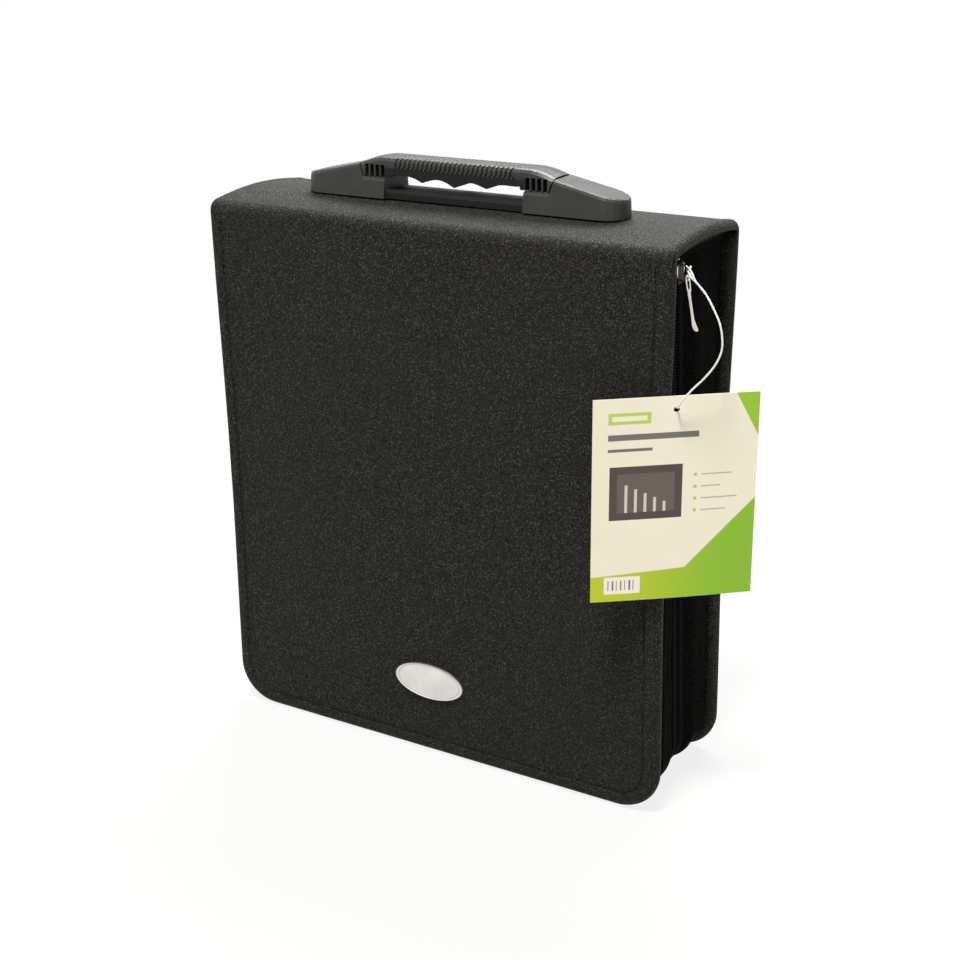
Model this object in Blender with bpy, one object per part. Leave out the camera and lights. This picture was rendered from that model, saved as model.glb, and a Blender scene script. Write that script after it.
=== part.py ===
"""Zip-round wallet for discs, with a ring mechanism and hanging sleeves.

It stands on its fore-edge with the spine and the handle up. X runs along the spine, -Y is the
front and +Z is up. The origin lies under the middle of the case, on the surface it stands on.
All sizes are in metres.
"""
import math

import bmesh
import bpy
from mathutils import Matrix, Vector

# Whole case
CASE_LENGTH = 0.290
CASE_DEPTH = 0.088
CASE_HEIGHT = 0.318
TOUCH_GAP = 0.0003

# Spine panel, a shallow tray that opens downward
SPINE_THICKNESS = 0.0075
SPINE_CROWN = 0.003
SPINE_EDGE_RADIUS = 0.007
SPINE_END_RADIUS = 0.005
SPINE_SKIRT = 0.003
SPINE_RIM = 0.008
LINING_THICKNESS = 0.001

# Covers, with a rolled bead and a stitched groove along three edges
COVER_EDGE = 0.009
COVER_EDGE_FLAT = 0.0015
COVER_PANEL = 0.0055
COVER_FACE_RECESS = 0.0004
COVER_CORNER_RADIUS = 0.025
COVER_WAIST = 0.0018
BEAD_WIDTH = 0.008
GROOVE_WIDTH = 0.0016
GROOVE_DEPTH = 0.001
PANEL_MARGIN = 0.006

# Gusset, zip tapes and coils
GUSSET_RECESS = 0.007
GUSSET_THICKNESS = 0.0016
GUSSET_TOP_GAP = 0.0006
ZIP_TOP_MARGIN = 0.0108
ZIP_BOTTOM_Y = -0.002
COIL_GAP = 0.0014
COIL_WIDTH = 0.0013
COIL_THICKNESS = 0.0023
COIL_PROUD = 0.0012
TAPE_WIDTH = 0.0047
TAPE_THICKNESS = 0.0006
ZIP_STOP_LENGTH = 0.0016

# Slider and its pull
SLIDER_DROP = 0.016
SLIDER_LENGTH = 0.011
SLIDER_WIDTH = 0.009
SLIDER_PLATE = 0.0012
SLIDER_WEB = 0.0008
SLIDER_PLAY = 0.0004
BRIDGE_WIDTH = 0.0014
BRIDGE_LENGTH = 0.0085
BRIDGE_HEIGHT = 0.0056
BRIDGE_BAR = 0.0012
PIVOT_RISE = 0.0031
PIVOT_LIFT = -0.0015
PULL_LENGTH = 0.0285
PULL_WIDTH = 0.005
PULL_STEM_WIDTH = 0.0028
PULL_END_WIDTH = 0.0042
PULL_THICKNESS = 0.0012
PULL_BAR = 0.0014
PULL_EYE_WIDTH = 0.0022
PULL_EYE_LENGTH = 0.0061
PULL_TILT = math.radians(8.5)

# Handle base: two wedges joined by a flat bar
BASE_LENGTH = 0.200
BASE_WIDTH = 0.026
BAR_WIDTH = 0.021
BAR_HEIGHT = 0.0046
SEAT_INNER_X = 0.044
SEAT_OUTER_X = 0.059
SEAT_HEIGHT = 0.0112
WEDGE_HEIGHT = 0.0182
WEDGE_TOE_HEIGHT = 0.0100
WEDGE_LEAN = 0.0025
WEDGE_DRAFT = 0.11
WEDGE_NOSE = 0.012
HANDLE_RIVET_X = 0.084
RIVET_SHANK_RADIUS = 0.002
RIVET_HEAD_RADIUS = 0.0045
RIVET_HEAD_HEIGHT = 0.0009
RIVET_DEPTH = 0.0045
BORE_CLEARANCE = 0.0003

# Handle grip
GRIP_WIDTH = 0.021
GRIP_HEIGHT = 0.0228
GRIP_CROWN = 0.0004
GRIP_END_HEIGHT = 0.0192
GRIP_END_GAP = 0.0008
GRIP_SHOULDER_X = 0.046
GRIP_ROUNDING = 0.004
RIB_COUNT = 26
RIB_PITCH = 0.0029
RIB_DEPTH = 0.0012
RIB_FOOT_HEIGHT = 0.0170
SKIRT_INSET = 0.0006
SCALLOP_REACH = 0.041
SCALLOP_COUNT = 4
SCALLOP_DEPTH = 0.0034
CUSP_HEIGHT = 0.0090
CUSP_BOW = 0.0042
FIN_COUNT = 4
FIN_PITCH = 0.0035
FIN_SLOT = 0.0023
FIN_HOOD = 0.0024
LEG_LENGTH = 0.008
LEG_WIDTH = 0.008
TOE_LENGTH = 0.010
TOE_THICKNESS = 0.0022
LEG_CLEARANCE = 0.0012
POCKET_ROOF = 0.0023

# Ring mechanism
MECH_END_CLEARANCE = 0.021
MECH_WIDTH = 0.0336
MECH_HEIGHT = 0.0078
MECH_SHEET = 0.0008
MECH_SIDE_HEIGHT = 0.0044
MECH_CROWN_WIDTH = 0.0152
MECH_EAR_LENGTH = 0.008
BLADE_DROP = 0.0027
BLADE_THICKNESS = 0.001
BLADE_END_CLEARANCE = 0.012
BLADE_PIVOT_Y = 0.013
BLADE_LIP = 0.0015
RING_COUNT = 4
RING_PITCH_SHARE = 0.625
RING_RADIUS = 0.0165
RING_WIRE = 0.003
RING_ROOT_Y = 0.010
RING_SLOT = 0.0048
RING_RIVET_OFFSET = 0.006
RING_RIVET_RISE = 0.003
TRIGGER_INSET = 0.003
TRIGGER_RISE = 0.0006
TRIGGER_WIDTH = 0.016
TRIGGER_LENGTH = 0.014
TRIGGER_SHEET = 0.0012
TRIGGER_TAB = 0.004
NOSE_LENGTH = 0.0115
NOSE_WIDTH = 0.006
NOSE_GAP = 0.0007
PIN_RADIUS = 0.0012

# Sleeves
SLEEVE_SIDE_CLEARANCE = 0.015
SLEEVE_FOOT_Z = 0.0148
SLEEVE_COUNT = 30
SLEEVE_BUNDLE = 0.015
SLEEVE_SPREAD = 0.030
SLEEVE_SHEET = 0.00055
SLEEVE_STRIP = 0.016
SLEEVE_MARGIN = 0.0034
SLEEVE_HOLE_RADIUS = 0.004

# Badge, swing ticket and its string
BADGE_LENGTH = 0.047
BADGE_HEIGHT = 0.0225
BADGE_THICKNESS = 0.0014
BADGE_BEVEL = 0.0006
BADGE_X = -0.0015
BADGE_Z = 0.047
TICKET_WIDTH = 0.086
TICKET_HEIGHT = 0.1102
TICKET_THICKNESS = 0.0005
TICKET_DROP = 0.0744
TICKET_ANGLE = math.radians(39.0)
TICKET_SHIFT = 0.0052
TICKET_HOLE_RADIUS = 0.0017
TICKET_HOLE_DROP = 0.007
STRING_DIAMETER = 0.001
KNOT_RADIUS = 0.0013
STRING_ROUTE = [
    (0.0010, 0.0183, -0.0137),
    (0.0026, 0.0174, -0.0148),
    (0.0040, 0.0163, -0.0166),
    (0.0052, 0.0160, -0.0185),
    (0.0080, 0.0152, -0.0207),
    (0.0122, 0.0134, -0.0238),
    (0.0174, 0.0102, -0.0289),
    (0.0218, 0.0090, -0.0362),
    (0.0240, 0.0078, -0.0435),
    (0.0242, 0.0067, -0.0498),
    (0.0217, 0.0053, -0.0566),
    (0.0171, 0.0038, -0.0633),
    (0.0127, 0.0023, -0.0683),
    (0.0098, 0.0012, -0.0718),
    (0.0073, 0.0006, -0.0752),
    (0.0056, 0.0007, -0.0782),
    (0.0046, 0.0019, -0.0799),
    (0.0031, 0.0037, -0.0805),
    (0.0019, 0.0052, -0.0806),
]
STRING_POINTS = 64

# Places that follow from the sizes
ZIP_TOP_Y = -CASE_DEPTH / 2 + COVER_EDGE + ZIP_TOP_MARGIN
MECH_HALF_LENGTH = CASE_LENGTH / 2 - MECH_END_CLEARANCE
BLADE_HALF_LENGTH = MECH_HALF_LENGTH - BLADE_END_CLEARANCE
RING_PITCH = BLADE_HALF_LENGTH * RING_PITCH_SHARE
RING_RIVET_X = RING_PITCH - RING_RIVET_OFFSET
SLEEVE_WIDTH = CASE_LENGTH - 2 * SLEEVE_SIDE_CLEARANCE
TICKET_TOP_Z = CASE_HEIGHT - TICKET_DROP
FOLD_Z = CASE_HEIGHT - SPINE_THICKNESS
BOARD_Z = FOLD_Z + SPINE_SKIRT
LINING_Z = BOARD_Z - TOUCH_GAP - LINING_THICKNESS
COVER_TOP_Z = FOLD_Z - TOUCH_GAP
HINGE_Z = FOLD_Z - TOUCH_GAP / 2
GUSSET_TOP_Z = FOLD_Z - GUSSET_TOP_GAP
GUSSET_HALF = CASE_LENGTH / 2 - GUSSET_RECESS
EDGE_RADIUS = (COVER_EDGE - COVER_EDGE_FLAT) / 2
SLIDER_Z = CASE_HEIGHT - SLIDER_DROP
ZIP_SLOPE = (ZIP_BOTTOM_Y - ZIP_TOP_Y) / (SLIDER_Z - COVER_CORNER_RADIUS)
ZIP_TILT = math.atan(ZIP_SLOPE)
TAPE_GAP = COIL_GAP / 2 + COIL_WIDTH + TOUCH_GAP
COIL_TOP_Z = GUSSET_TOP_Z - ZIP_STOP_LENGTH - TOUCH_GAP
HANDLE_FOOT_Z = CASE_HEIGHT + SPINE_CROWN + TOUCH_GAP
BASE_PITCH = SEAT_OUTER_X - SEAT_INNER_X
MECH_TOP_Z = LINING_Z - TOUCH_GAP
BLADE_Z = MECH_TOP_Z - BLADE_DROP
RING_CENTRE_Z = BLADE_Z - math.sqrt(RING_RADIUS ** 2 - RING_ROOT_Y ** 2)
TRIGGER_X = MECH_HALF_LENGTH - TRIGGER_INSET
TRIGGER_Z = BLADE_Z + TRIGGER_RISE
RING_FACE_Z = RING_CENTRE_Z - math.sqrt(RING_RADIUS ** 2 - (SLEEVE_BUNDLE / 2) ** 2)
SLEEVE_HOLE_Z = RING_FACE_Z + RING_WIRE / 2 + TOUCH_GAP - SLEEVE_HOLE_RADIUS
PANEL_FACE_Y = -CASE_DEPTH / 2 + COVER_FACE_RECESS


def material(name, colour, roughness, metallic=0.0):
    """A plain Principled material."""
    made = bpy.data.materials.new(name)
    made.use_nodes = True
    shader = made.node_tree.nodes["Principled BSDF"]
    shader.inputs["Base Color"].default_value = (*colour, 1.0)
    shader.inputs["Roughness"].default_value = roughness
    shader.inputs["Metallic"].default_value = metallic
    return made


def add_object(name, bm, finish, smooth_angle=None):
    """Turn a bmesh into a named object with outward faces."""
    bmesh.ops.recalc_face_normals(bm, faces=bm.faces)
    mesh = bpy.data.meshes.new(name)
    bm.to_mesh(mesh)
    bm.free()
    if finish:
        mesh.materials.append(finish)
    if smooth_angle:
        mesh.shade_smooth()
        mesh.set_sharp_from_angle(angle=smooth_angle)
    made = bpy.data.objects.new(name, mesh)
    bpy.context.collection.objects.link(made)
    return made


def add_pivot(name, place):
    """An empty on a joint's axis."""
    pivot = bpy.data.objects.new(name, None)
    pivot.location = place
    pivot.empty_display_size = 0.02
    bpy.context.collection.objects.link(pivot)
    return pivot


def hang_on(pivot, *pieces):
    """Parent pieces to an empty and leave them where they are."""
    for piece in pieces:
        piece.parent = pivot
        piece.matrix_parent_inverse = Matrix.Translation(pivot.location).inverted()


def loft_into(bm, rings, close_ends=True):
    """Join rings of equal length into a tube, and cap its ends."""
    rows = [[bm.verts.new(point) for point in ring] for ring in rings]
    count = len(rows[0])
    for lower, upper in zip(rows, rows[1:]):
        for i in range(count):
            j = (i + 1) % count
            bm.faces.new((lower[i], lower[j], upper[j], upper[i]))
    if close_ends:
        bm.faces.new(rows[0])
        bm.faces.new(rows[-1])
    return rows


def box_into(bm, low, high):
    """A box between two corners."""
    xs, ys, zs = zip(low, high)
    rings = [[(x, ys[0], zs[0]), (x, ys[1], zs[0]), (x, ys[1], zs[1]), (x, ys[0], zs[1])] for x in xs]
    loft_into(bm, rings)


def rod_into(bm, start, end, radius, sides=12):
    """A cylinder between two points on a line along X, Y or Z."""
    along = (Vector(end) - Vector(start)).normalized()
    across = along.orthogonal().normalized()
    over = along.cross(across)
    turns = [2 * math.pi * i / sides for i in range(sides)]
    spokes = [radius * (math.cos(turn) * across + math.sin(turn) * over) for turn in turns]
    loft_into(bm, [[Vector(end_point) + spoke for spoke in spokes] for end_point in (start, end)])


def lathe_into(bm, centre_x, profile, sides=16):
    """Turn (radius, z) points round a vertical axis at x = centre_x, y = 0, and cap both ends."""
    turns = [2 * math.pi * i / sides for i in range(sides)]
    rings = [[(centre_x + r * math.cos(turn), r * math.sin(turn), z) for turn in turns] for r, z in profile]
    loft_into(bm, rings)


def cut(target, name, fill, operation="DIFFERENCE"):
    """Cut or join solids, which fill(bm) makes, with an exact Boolean."""
    bm = bmesh.new()
    fill(bm)
    tool = add_object(name, bm, None)
    tool.hide_render = True
    tool.display_type = "WIRE"
    step = target.modifiers.new(name, "BOOLEAN")
    step.operation = operation
    step.solver = "EXACT"
    step.object = tool
    return tool


def u_path(half, bottom, radius, top, side_steps=1, arc_steps=6):
    """Points and inward normals, in X and Z, from the left top round the bottom to the right top."""
    low = bottom + radius
    left = [((-half, top + (low - top) * i / side_steps), (1.0, 0.0)) for i in range(side_steps)]
    for i in range(arc_steps + 1):
        turn = math.pi / 2 * i / arc_steps
        normal = (math.cos(turn), math.sin(turn))
        left.append(((-half + radius - radius * normal[0], low - radius * normal[1]), normal))
    right = [((-x, z), (-nx, nz)) for (x, z), (nx, nz) in reversed(left)]
    return left + right


def zip_y(z):
    """The zip's centre line: slanted down both sides, level along the bottom."""
    return min(ZIP_TOP_Y + (SLIDER_Z - z) * ZIP_SLOPE, ZIP_BOTTOM_Y)


def band(name, finish, near, far, offset, thickness, top=GUSSET_TOP_Z):
    """A strip that follows the gusset's U, between the lines near(z) and far(z)."""
    bm = bmesh.new()
    rings = []
    for (x, z), (nx, nz) in u_path(GUSSET_HALF, GUSSET_RECESS, COVER_CORNER_RADIUS - GUSSET_RECESS, top):
        outer = (x + nx * offset, z + nz * offset)
        inner = (x + nx * (offset + thickness), z + nz * (offset + thickness))
        corners = [(outer, near(z)), (outer, far(z)), (inner, far(z)), (inner, near(z))]
        rings.append([(px, y, pz) for (px, pz), y in corners])
    loft_into(bm, rings)
    return add_object(name, bm, finish, math.radians(40))


def make_spine_panel(finish):
    """The crowned panel along the top, with its rounded long edges and rolled ends."""
    half_depth = CASE_DEPTH / 2
    flat_half = half_depth - SPINE_EDGE_RADIUS
    arc_steps = 4
    crown_steps = 6
    section = [(-half_depth, FOLD_Z)]
    for i in range(arc_steps + 1):
        turn = math.pi / 2 * i / arc_steps
        y = -flat_half - SPINE_EDGE_RADIUS * math.cos(turn)
        section.append((y, CASE_HEIGHT - SPINE_EDGE_RADIUS + SPINE_EDGE_RADIUS * math.sin(turn)))
    for i in range(1, crown_steps // 2 + 1):
        y = flat_half * (2 * i / crown_steps - 1)
        section.append((y, CASE_HEIGHT + SPINE_CROWN * (1 - (y / flat_half) ** 2)))
    section += [(-y, z) for y, z in reversed(section[:-1])]
    bm = bmesh.new()
    rings = []
    for side in (-1, 1):
        ends = []
        for i in range(4):
            turn = math.pi / 2 * i / 3
            inset = SPINE_END_RADIUS * (1 - math.sin(turn))
            x = side * (CASE_LENGTH / 2 - SPINE_END_RADIUS * (1 - math.cos(turn)))
            squeeze = 1 - inset / SPINE_THICKNESS
            ends.append([(x, y, FOLD_Z + (z - FOLD_Z) * squeeze) for y, z in section])
        rings += ends if side < 0 else reversed(ends)
    loft_into(bm, rings)
    panel = add_object("spine_panel", bm, finish, math.radians(50))

    def openings(tool):
        reach_x = CASE_LENGTH / 2 - SPINE_RIM
        reach_y = CASE_DEPTH / 2 - SPINE_RIM + 2 * GROOVE_WIDTH
        box_into(tool, (-reach_x, -reach_y, FOLD_Z - SPINE_SKIRT), (reach_x, reach_y, BOARD_Z))

    def bores(tool):
        radius = RIVET_SHANK_RADIUS + BORE_CLEARANCE
        for side in (-1, 1):
            x = side * HANDLE_RIVET_X
            rod_into(tool, (x, 0, FOLD_Z), (x, 0, HANDLE_FOOT_Z + SPINE_THICKNESS), radius)
            x = side * RING_RIVET_X
            top = BOARD_Z + RING_RIVET_RISE + TOUCH_GAP
            rod_into(tool, (x, 0, FOLD_Z), (x, 0, top), radius)

    cut(panel, "spine_tray_cut", openings)
    cut(panel, "spine_bores_cut", bores)
    return panel


def make_spine_lining(finish):
    """The board under the spine panel that carries the ring mechanism."""
    half_x = CASE_LENGTH / 2 - SPINE_RIM - 2 * TOUCH_GAP
    half_y = CASE_DEPTH / 2 - SPINE_RIM + 2 * GROOVE_WIDTH - 2 * TOUCH_GAP
    bm = bmesh.new()
    box_into(bm, (-half_x, -half_y, LINING_Z), (half_x, half_y, LINING_Z + LINING_THICKNESS))
    lining = add_object("spine_lining", bm, finish)

    def bores(tool):
        for x in (-HANDLE_RIVET_X, -RING_RIVET_X, RING_RIVET_X, HANDLE_RIVET_X):
            reach = 3 * LINING_THICKNESS
            radius = RIVET_SHANK_RADIUS + BORE_CLEARANCE
            rod_into(tool, (x, 0, LINING_Z - reach), (x, 0, LINING_Z + reach), radius)

    cut(lining, "lining_bores_cut", bores)
    return lining


def cover_profile():
    """The section across a cover's edge: inset from the outline, and Y on the front cover."""
    face = PANEL_FACE_Y
    back = -CASE_DEPTH / 2 + COVER_PANEL
    groove_end = BEAD_WIDTH + GROOVE_WIDTH
    inner = groove_end + PANEL_MARGIN
    slope = GROOVE_WIDTH / 4
    points = [(inner, face), (groove_end, face), (groove_end - slope, face + GROOVE_DEPTH)]
    points += [(BEAD_WIDTH + slope, face + GROOVE_DEPTH), (BEAD_WIDTH, face)]
    for first, shift in ((-4, 0.0), (0, COVER_EDGE_FLAT)):
        for i in range(first, first + 5):
            turn = math.pi / 8 * i
            inset = EDGE_RADIUS * (1 - math.cos(turn))
            points.append((inset, -CASE_DEPTH / 2 + shift + EDGE_RADIUS * (1 + math.sin(turn))))
    rear = -CASE_DEPTH / 2 + COVER_EDGE
    points += [(BEAD_WIDTH + slope, rear), (groove_end - slope, back), (inner, back)]
    return points


def waisted(x, z):
    """The covers are a little narrower at mid height than at their ends."""
    return x * (1 - 2 * COVER_WAIST / CASE_LENGTH * math.sin(math.pi * z / CASE_HEIGHT) ** 2)


def make_cover(name, finish, side):
    """A cover: side is -1 for the front and 1 for the back."""
    bm = bmesh.new()
    profile = cover_profile()
    columns = []
    for inset, y in profile:
        path = u_path(
            CASE_LENGTH / 2 - inset, inset, COVER_CORNER_RADIUS - inset, COVER_TOP_Z, side_steps=8, arc_steps=6
        )
        columns.append([bm.verts.new((waisted(x, z), -side * y, z)) for (x, z), _ in path])
    for near, far in zip(columns, columns[1:]):
        for i in range(len(near) - 1):
            bm.faces.new((near[i], near[i + 1], far[i + 1], far[i]))
    bm.faces.new(columns[0])
    bm.faces.new(columns[-1])
    bm.faces.new([column[0] for column in columns] + [column[-1] for column in reversed(columns)])
    return add_object(name, bm, finish, math.radians(35))


def make_cover_lining(name, finish, side):
    """The thin lining sheet inside a cover."""
    inset = BEAD_WIDTH + GROOVE_WIDTH + COVER_WAIST
    near = CASE_DEPTH / 2 - COVER_PANEL - TOUCH_GAP
    path = u_path(CASE_LENGTH / 2 - inset, inset, COVER_CORNER_RADIUS - inset, COVER_TOP_Z - BEAD_WIDTH / 4)
    bm = bmesh.new()
    sheet = [near, near - LINING_THICKNESS]
    loft_into(bm, [[(x, side * y, z) for (x, z), _ in path] for y in sheet])
    return add_object(name, bm, finish)


def make_badge(finish):
    """The oval plate low on the front cover."""
    back = PANEL_FACE_Y - TOUCH_GAP
    front = back - BADGE_THICKNESS
    bm = bmesh.new()
    rings = []
    for y, inset in ((back, 0.0), (front + BADGE_BEVEL, 0.0), (front, BADGE_BEVEL)):
        half_x = BADGE_LENGTH / 2 - inset
        half_z = BADGE_HEIGHT / 2 - inset
        turns = [2 * math.pi * i / 36 for i in range(36)]
        rings.append([(BADGE_X + half_x * math.cos(t), y, BADGE_Z + half_z * math.sin(t)) for t in turns])
    loft_into(bm, rings)
    return add_object("badge", bm, finish, math.radians(50))


def gusset_pieces(side, name, fabric, tape_cloth, coil_finish):
    """One half of the gusset with its zip tape and coil; side is -1 in front of the zip line."""
    cover_y = side * (CASE_DEPTH / 2 - COVER_EDGE - TOUCH_GAP)

    def seam(z):
        return zip_y(z) + side * TAPE_GAP

    def tape_edge(z):
        wanted = seam(z) + side * TAPE_WIDTH
        return max(wanted, cover_y) if side < 0 else min(wanted, cover_y)

    def coil_near(z):
        return zip_y(z) + side * COIL_GAP / 2

    def coil_far(z):
        return coil_near(z) + side * COIL_WIDTH

    gusset = band(name + "_gusset", fabric, lambda z: cover_y, seam, 0.0, GUSSET_THICKNESS)
    tape_offset = -TAPE_THICKNESS - TOUCH_GAP
    tape = band(name + "_zip_tape", tape_cloth, tape_edge, seam, tape_offset, TAPE_THICKNESS)
    coil = band(name + "_zip_coil", coil_finish, coil_near, coil_far, -COIL_PROUD, COIL_THICKNESS, COIL_TOP_Z)
    return [gusset, tape, coil]


def make_zip_stop(name, finish, side, end):
    """A small block above the end of one coil; end is -1 on the left and 1 on the right."""
    outer = end * (GUSSET_HALF + COIL_PROUD)
    inner = outer - end * COIL_THICKNESS
    low = GUSSET_TOP_Z - ZIP_STOP_LENGTH
    bm = bmesh.new()
    rings = []
    for z in (low, GUSSET_TOP_Z):
        near = zip_y(z) + side * COIL_GAP / 2
        far = near + side * COIL_WIDTH
        rings.append([(outer, near, z), (outer, far, z), (inner, far, z), (inner, near, z)])
    loft_into(bm, rings)
    return add_object(name, bm, finish)


def slider_frame():
    """From the slider's own axes (out, across, up the zip) to the case."""
    turn = Matrix.Rotation(ZIP_TILT, 4, "X")
    return Matrix.Translation((GUSSET_HALF, zip_y(SLIDER_Z), SLIDER_Z)) @ turn


def plate_outline():
    """The slider plate's outline across and along the zip: shoulders at the top, narrow at the foot."""
    half = SLIDER_WIDTH / 2
    top = SLIDER_LENGTH / 2
    return [(-0.6 * half, -top), (0.6 * half, -top), (half, -0.3 * top), (half, 0.5 * top),
            (0.45 * half, top), (-0.45 * half, top), (-half, 0.5 * top), (-half, -0.3 * top)]


def make_slider(finish):
    """Two plates, the web between the coils and the bridge that holds the pull."""
    outer_face = COIL_PROUD + SLIDER_PLAY
    bridge_foot = outer_face + SLIDER_PLATE
    inner_face = -GUSSET_THICKNESS - SLIDER_PLAY
    bm = bmesh.new()
    loft_into(bm, [[(x, y, z) for y, z in plate_outline()] for x in (outer_face, bridge_foot)])
    slider = add_object("zip_slider", bm, finish)

    def inner_plate(tool):
        loft_into(tool, [[(x, y, z) for y, z in plate_outline()] for x in (inner_face - SLIDER_PLATE, inner_face)])

    def web(tool):
        reach = SLIDER_LENGTH * 0.42
        sink = SLIDER_PLATE / 2
        half = SLIDER_WEB / 2
        box_into(tool, (inner_face - sink, -half, -reach), (outer_face + sink, half, reach))

    def bridge(tool):
        sink = SLIDER_PLATE / 2
        half = BRIDGE_LENGTH / 2
        top = bridge_foot + BRIDGE_HEIGHT
        leg = BRIDGE_BAR
        outline = [(bridge_foot - sink, -half), (top - leg, -half), (top, -half + leg), (top, half - leg),
                   (top - leg, half), (bridge_foot - sink, half), (bridge_foot - sink, half - leg),
                   (top - leg, half - leg), (top - leg, leg - half), (bridge_foot - sink, leg - half)]
        loft_into(tool, [[(x, y, z) for x, z in outline] for y in (-BRIDGE_WIDTH / 2, BRIDGE_WIDTH / 2)])

    tools = [cut(slider, "slider_inner_plate", inner_plate, "UNION"), cut(slider, "slider_web", web, "UNION"),
             cut(slider, "slider_bridge", bridge, "UNION")]
    for piece in [slider] + tools:
        piece.data.transform(slider_frame())
    return slider


def pull_pivot():
    """The point about which the pull swings."""
    return slider_frame() @ Vector((COIL_PROUD + SLIDER_PLAY + SLIDER_PLATE + PIVOT_RISE, 0, PIVOT_LIFT))


def make_pull(finish):
    """A flat tongue with a slot that hooks under the bridge, hanging a little away from the zip."""
    half = PULL_WIDTH / 2
    head = PULL_BAR / 2
    stem = PULL_STEM_WIDTH / 2
    end = PULL_END_WIDTH / 2
    eye_foot = -head - PULL_EYE_LENGTH - PULL_BAR / 2
    outline = [(-half, head), (-half, eye_foot), (-stem, eye_foot - 2 * PULL_BAR), (-stem, -0.78 * PULL_LENGTH),
               (-end, -0.88 * PULL_LENGTH), (-end, -0.97 * PULL_LENGTH), (-0.6 * end, -PULL_LENGTH)]
    outline += [(-y, z) for y, z in reversed(outline)]
    bm = bmesh.new()
    loft_into(bm, [[(x, y, z) for y, z in outline] for x in (-PULL_THICKNESS / 2, PULL_THICKNESS / 2)])
    pull = add_object("zip_pull", bm, finish)

    def eye(tool):
        half_eye = PULL_EYE_WIDTH / 2
        low = -head - PULL_EYE_LENGTH
        box_into(tool, (-PULL_THICKNESS, -half_eye, low), (PULL_THICKNESS, half_eye, -head))

    def lip(tool):
        low = -0.98 * PULL_LENGTH
        high = -0.90 * PULL_LENGTH
        box_into(tool, (0, -0.8 * end, low), (PULL_THICKNESS, 0.8 * end, high))

    tools = [cut(pull, "pull_eye_cut", eye), cut(pull, "pull_lip", lip, "UNION")]
    place = Matrix.Translation(pull_pivot()) @ Matrix.Rotation(ZIP_TILT, 4, "X")
    place = place @ Matrix.Rotation(-PULL_TILT, 4, "Y")
    for piece in [pull] + tools:
        piece.data.transform(place)
    return pull


def drafted_section(half, low, high, radius):
    """A section in Y and Z whose sides lean in as they rise, with rounded upper corners."""
    top = half - WEDGE_DRAFT * (high - low)
    section = [(-half, low), (-top - WEDGE_DRAFT * radius, high - radius)]
    for i in (1, 2):
        turn = math.pi / 2 * i / 2
        section.append((-top + radius * (1 - math.cos(turn)), high - radius * (1 - math.sin(turn))))
    return section + [(-y, z) for y, z in reversed(section)]


def wedge_top(x):
    """Height of the wedge's sloping top above the handle's foot."""
    start = SEAT_OUTER_X + WEDGE_LEAN
    slope = max(0.0, (BASE_LENGTH / 2 - x) / (BASE_LENGTH / 2 - start))
    return WEDGE_TOE_HEIGHT + (WEDGE_HEIGHT - WEDGE_TOE_HEIGHT) * min(1.0, slope)


def base_stations():
    """X, half width and height along one half of the handle's base."""
    step = TOUCH_GAP
    half = BASE_WIDTH / 2
    end = BASE_LENGTH / 2
    start = SEAT_OUTER_X + WEDGE_LEAN
    stations = [(SEAT_INNER_X - step, BAR_WIDTH / 2, BAR_HEIGHT), (SEAT_INNER_X, half, SEAT_HEIGHT)]
    stations += [(SEAT_OUTER_X, half, SEAT_HEIGHT), (start, half, WEDGE_HEIGHT)]
    stations.append((end - WEDGE_NOSE, half, wedge_top(end - WEDGE_NOSE)))
    for degrees in (20, 40, 58, 72, 82):
        turn = math.radians(degrees)
        x = end - WEDGE_NOSE * (1 - math.sin(turn))
        width = half - WEDGE_NOSE * (1 - math.cos(turn))
        stations.append((x, width, wedge_top(x) * (1 - 0.12 * (degrees / 90) ** 4)))
    return stations


def make_handle_base(finish):
    """The moulded foot of the handle, with pockets for the grip's legs."""
    half_stations = base_stations()
    stations = [(-x, w, h) for x, w, h in reversed(half_stations)] + half_stations
    bm = bmesh.new()
    rings = []
    for x, width, height in stations:
        radius = min(0.3 * height, 0.0018)
        section = drafted_section(width, HANDLE_FOOT_Z, HANDLE_FOOT_Z + height, radius)
        rings.append([(x, y, z) for y, z in section])
    loft_into(bm, rings)
    base = add_object("handle_base", bm, finish, math.radians(35))

    half_pocket = LEG_WIDTH / 2 + LEG_CLEARANCE
    floor = leg_foot_z() - LEG_CLEARANCE
    middle = SEAT_OUTER_X - BORE_CLEARANCE

    def notches(tool):
        for side in (-1, 1):
            xs = sorted((side * (leg_start_x() - LEG_CLEARANCE), side * middle))
            top = HANDLE_FOOT_Z + WEDGE_HEIGHT
            box_into(tool, (xs[0], -half_pocket, floor), (xs[1], half_pocket, top))

    def pockets(tool):
        end = leg_start_x() + LEG_LENGTH + TOE_LENGTH + LEG_CLEARANCE
        roof = HANDLE_FOOT_Z + wedge_top(end) - POCKET_ROOF
        half = half_pocket - TOUCH_GAP
        for side in (-1, 1):
            xs = sorted((side * (middle - LEG_CLEARANCE), side * end))
            box_into(tool, (xs[0], -half, floor + TOUCH_GAP), (xs[1], half, roof))

    def bores(tool):
        for side in (-1, 1):
            x = side * HANDLE_RIVET_X
            top = HANDLE_FOOT_Z + RIVET_DEPTH + TOUCH_GAP
            rod_into(tool, (x, 0, FOLD_Z), (x, 0, top), RIVET_SHANK_RADIUS + BORE_CLEARANCE)

    cut(base, "handle_notches_cut", notches)
    cut(base, "handle_pockets_cut", pockets)
    cut(base, "handle_bores_cut", bores)
    return base


def leg_start_x():
    """Where the grip's leg begins."""
    return SEAT_INNER_X + (BASE_PITCH - LEG_LENGTH) / 2


def leg_foot_z():
    """The leg's foot hangs just above the pocket's floor."""
    return HANDLE_FOOT_Z + BAR_HEIGHT + LEG_CLEARANCE / 2


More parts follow.
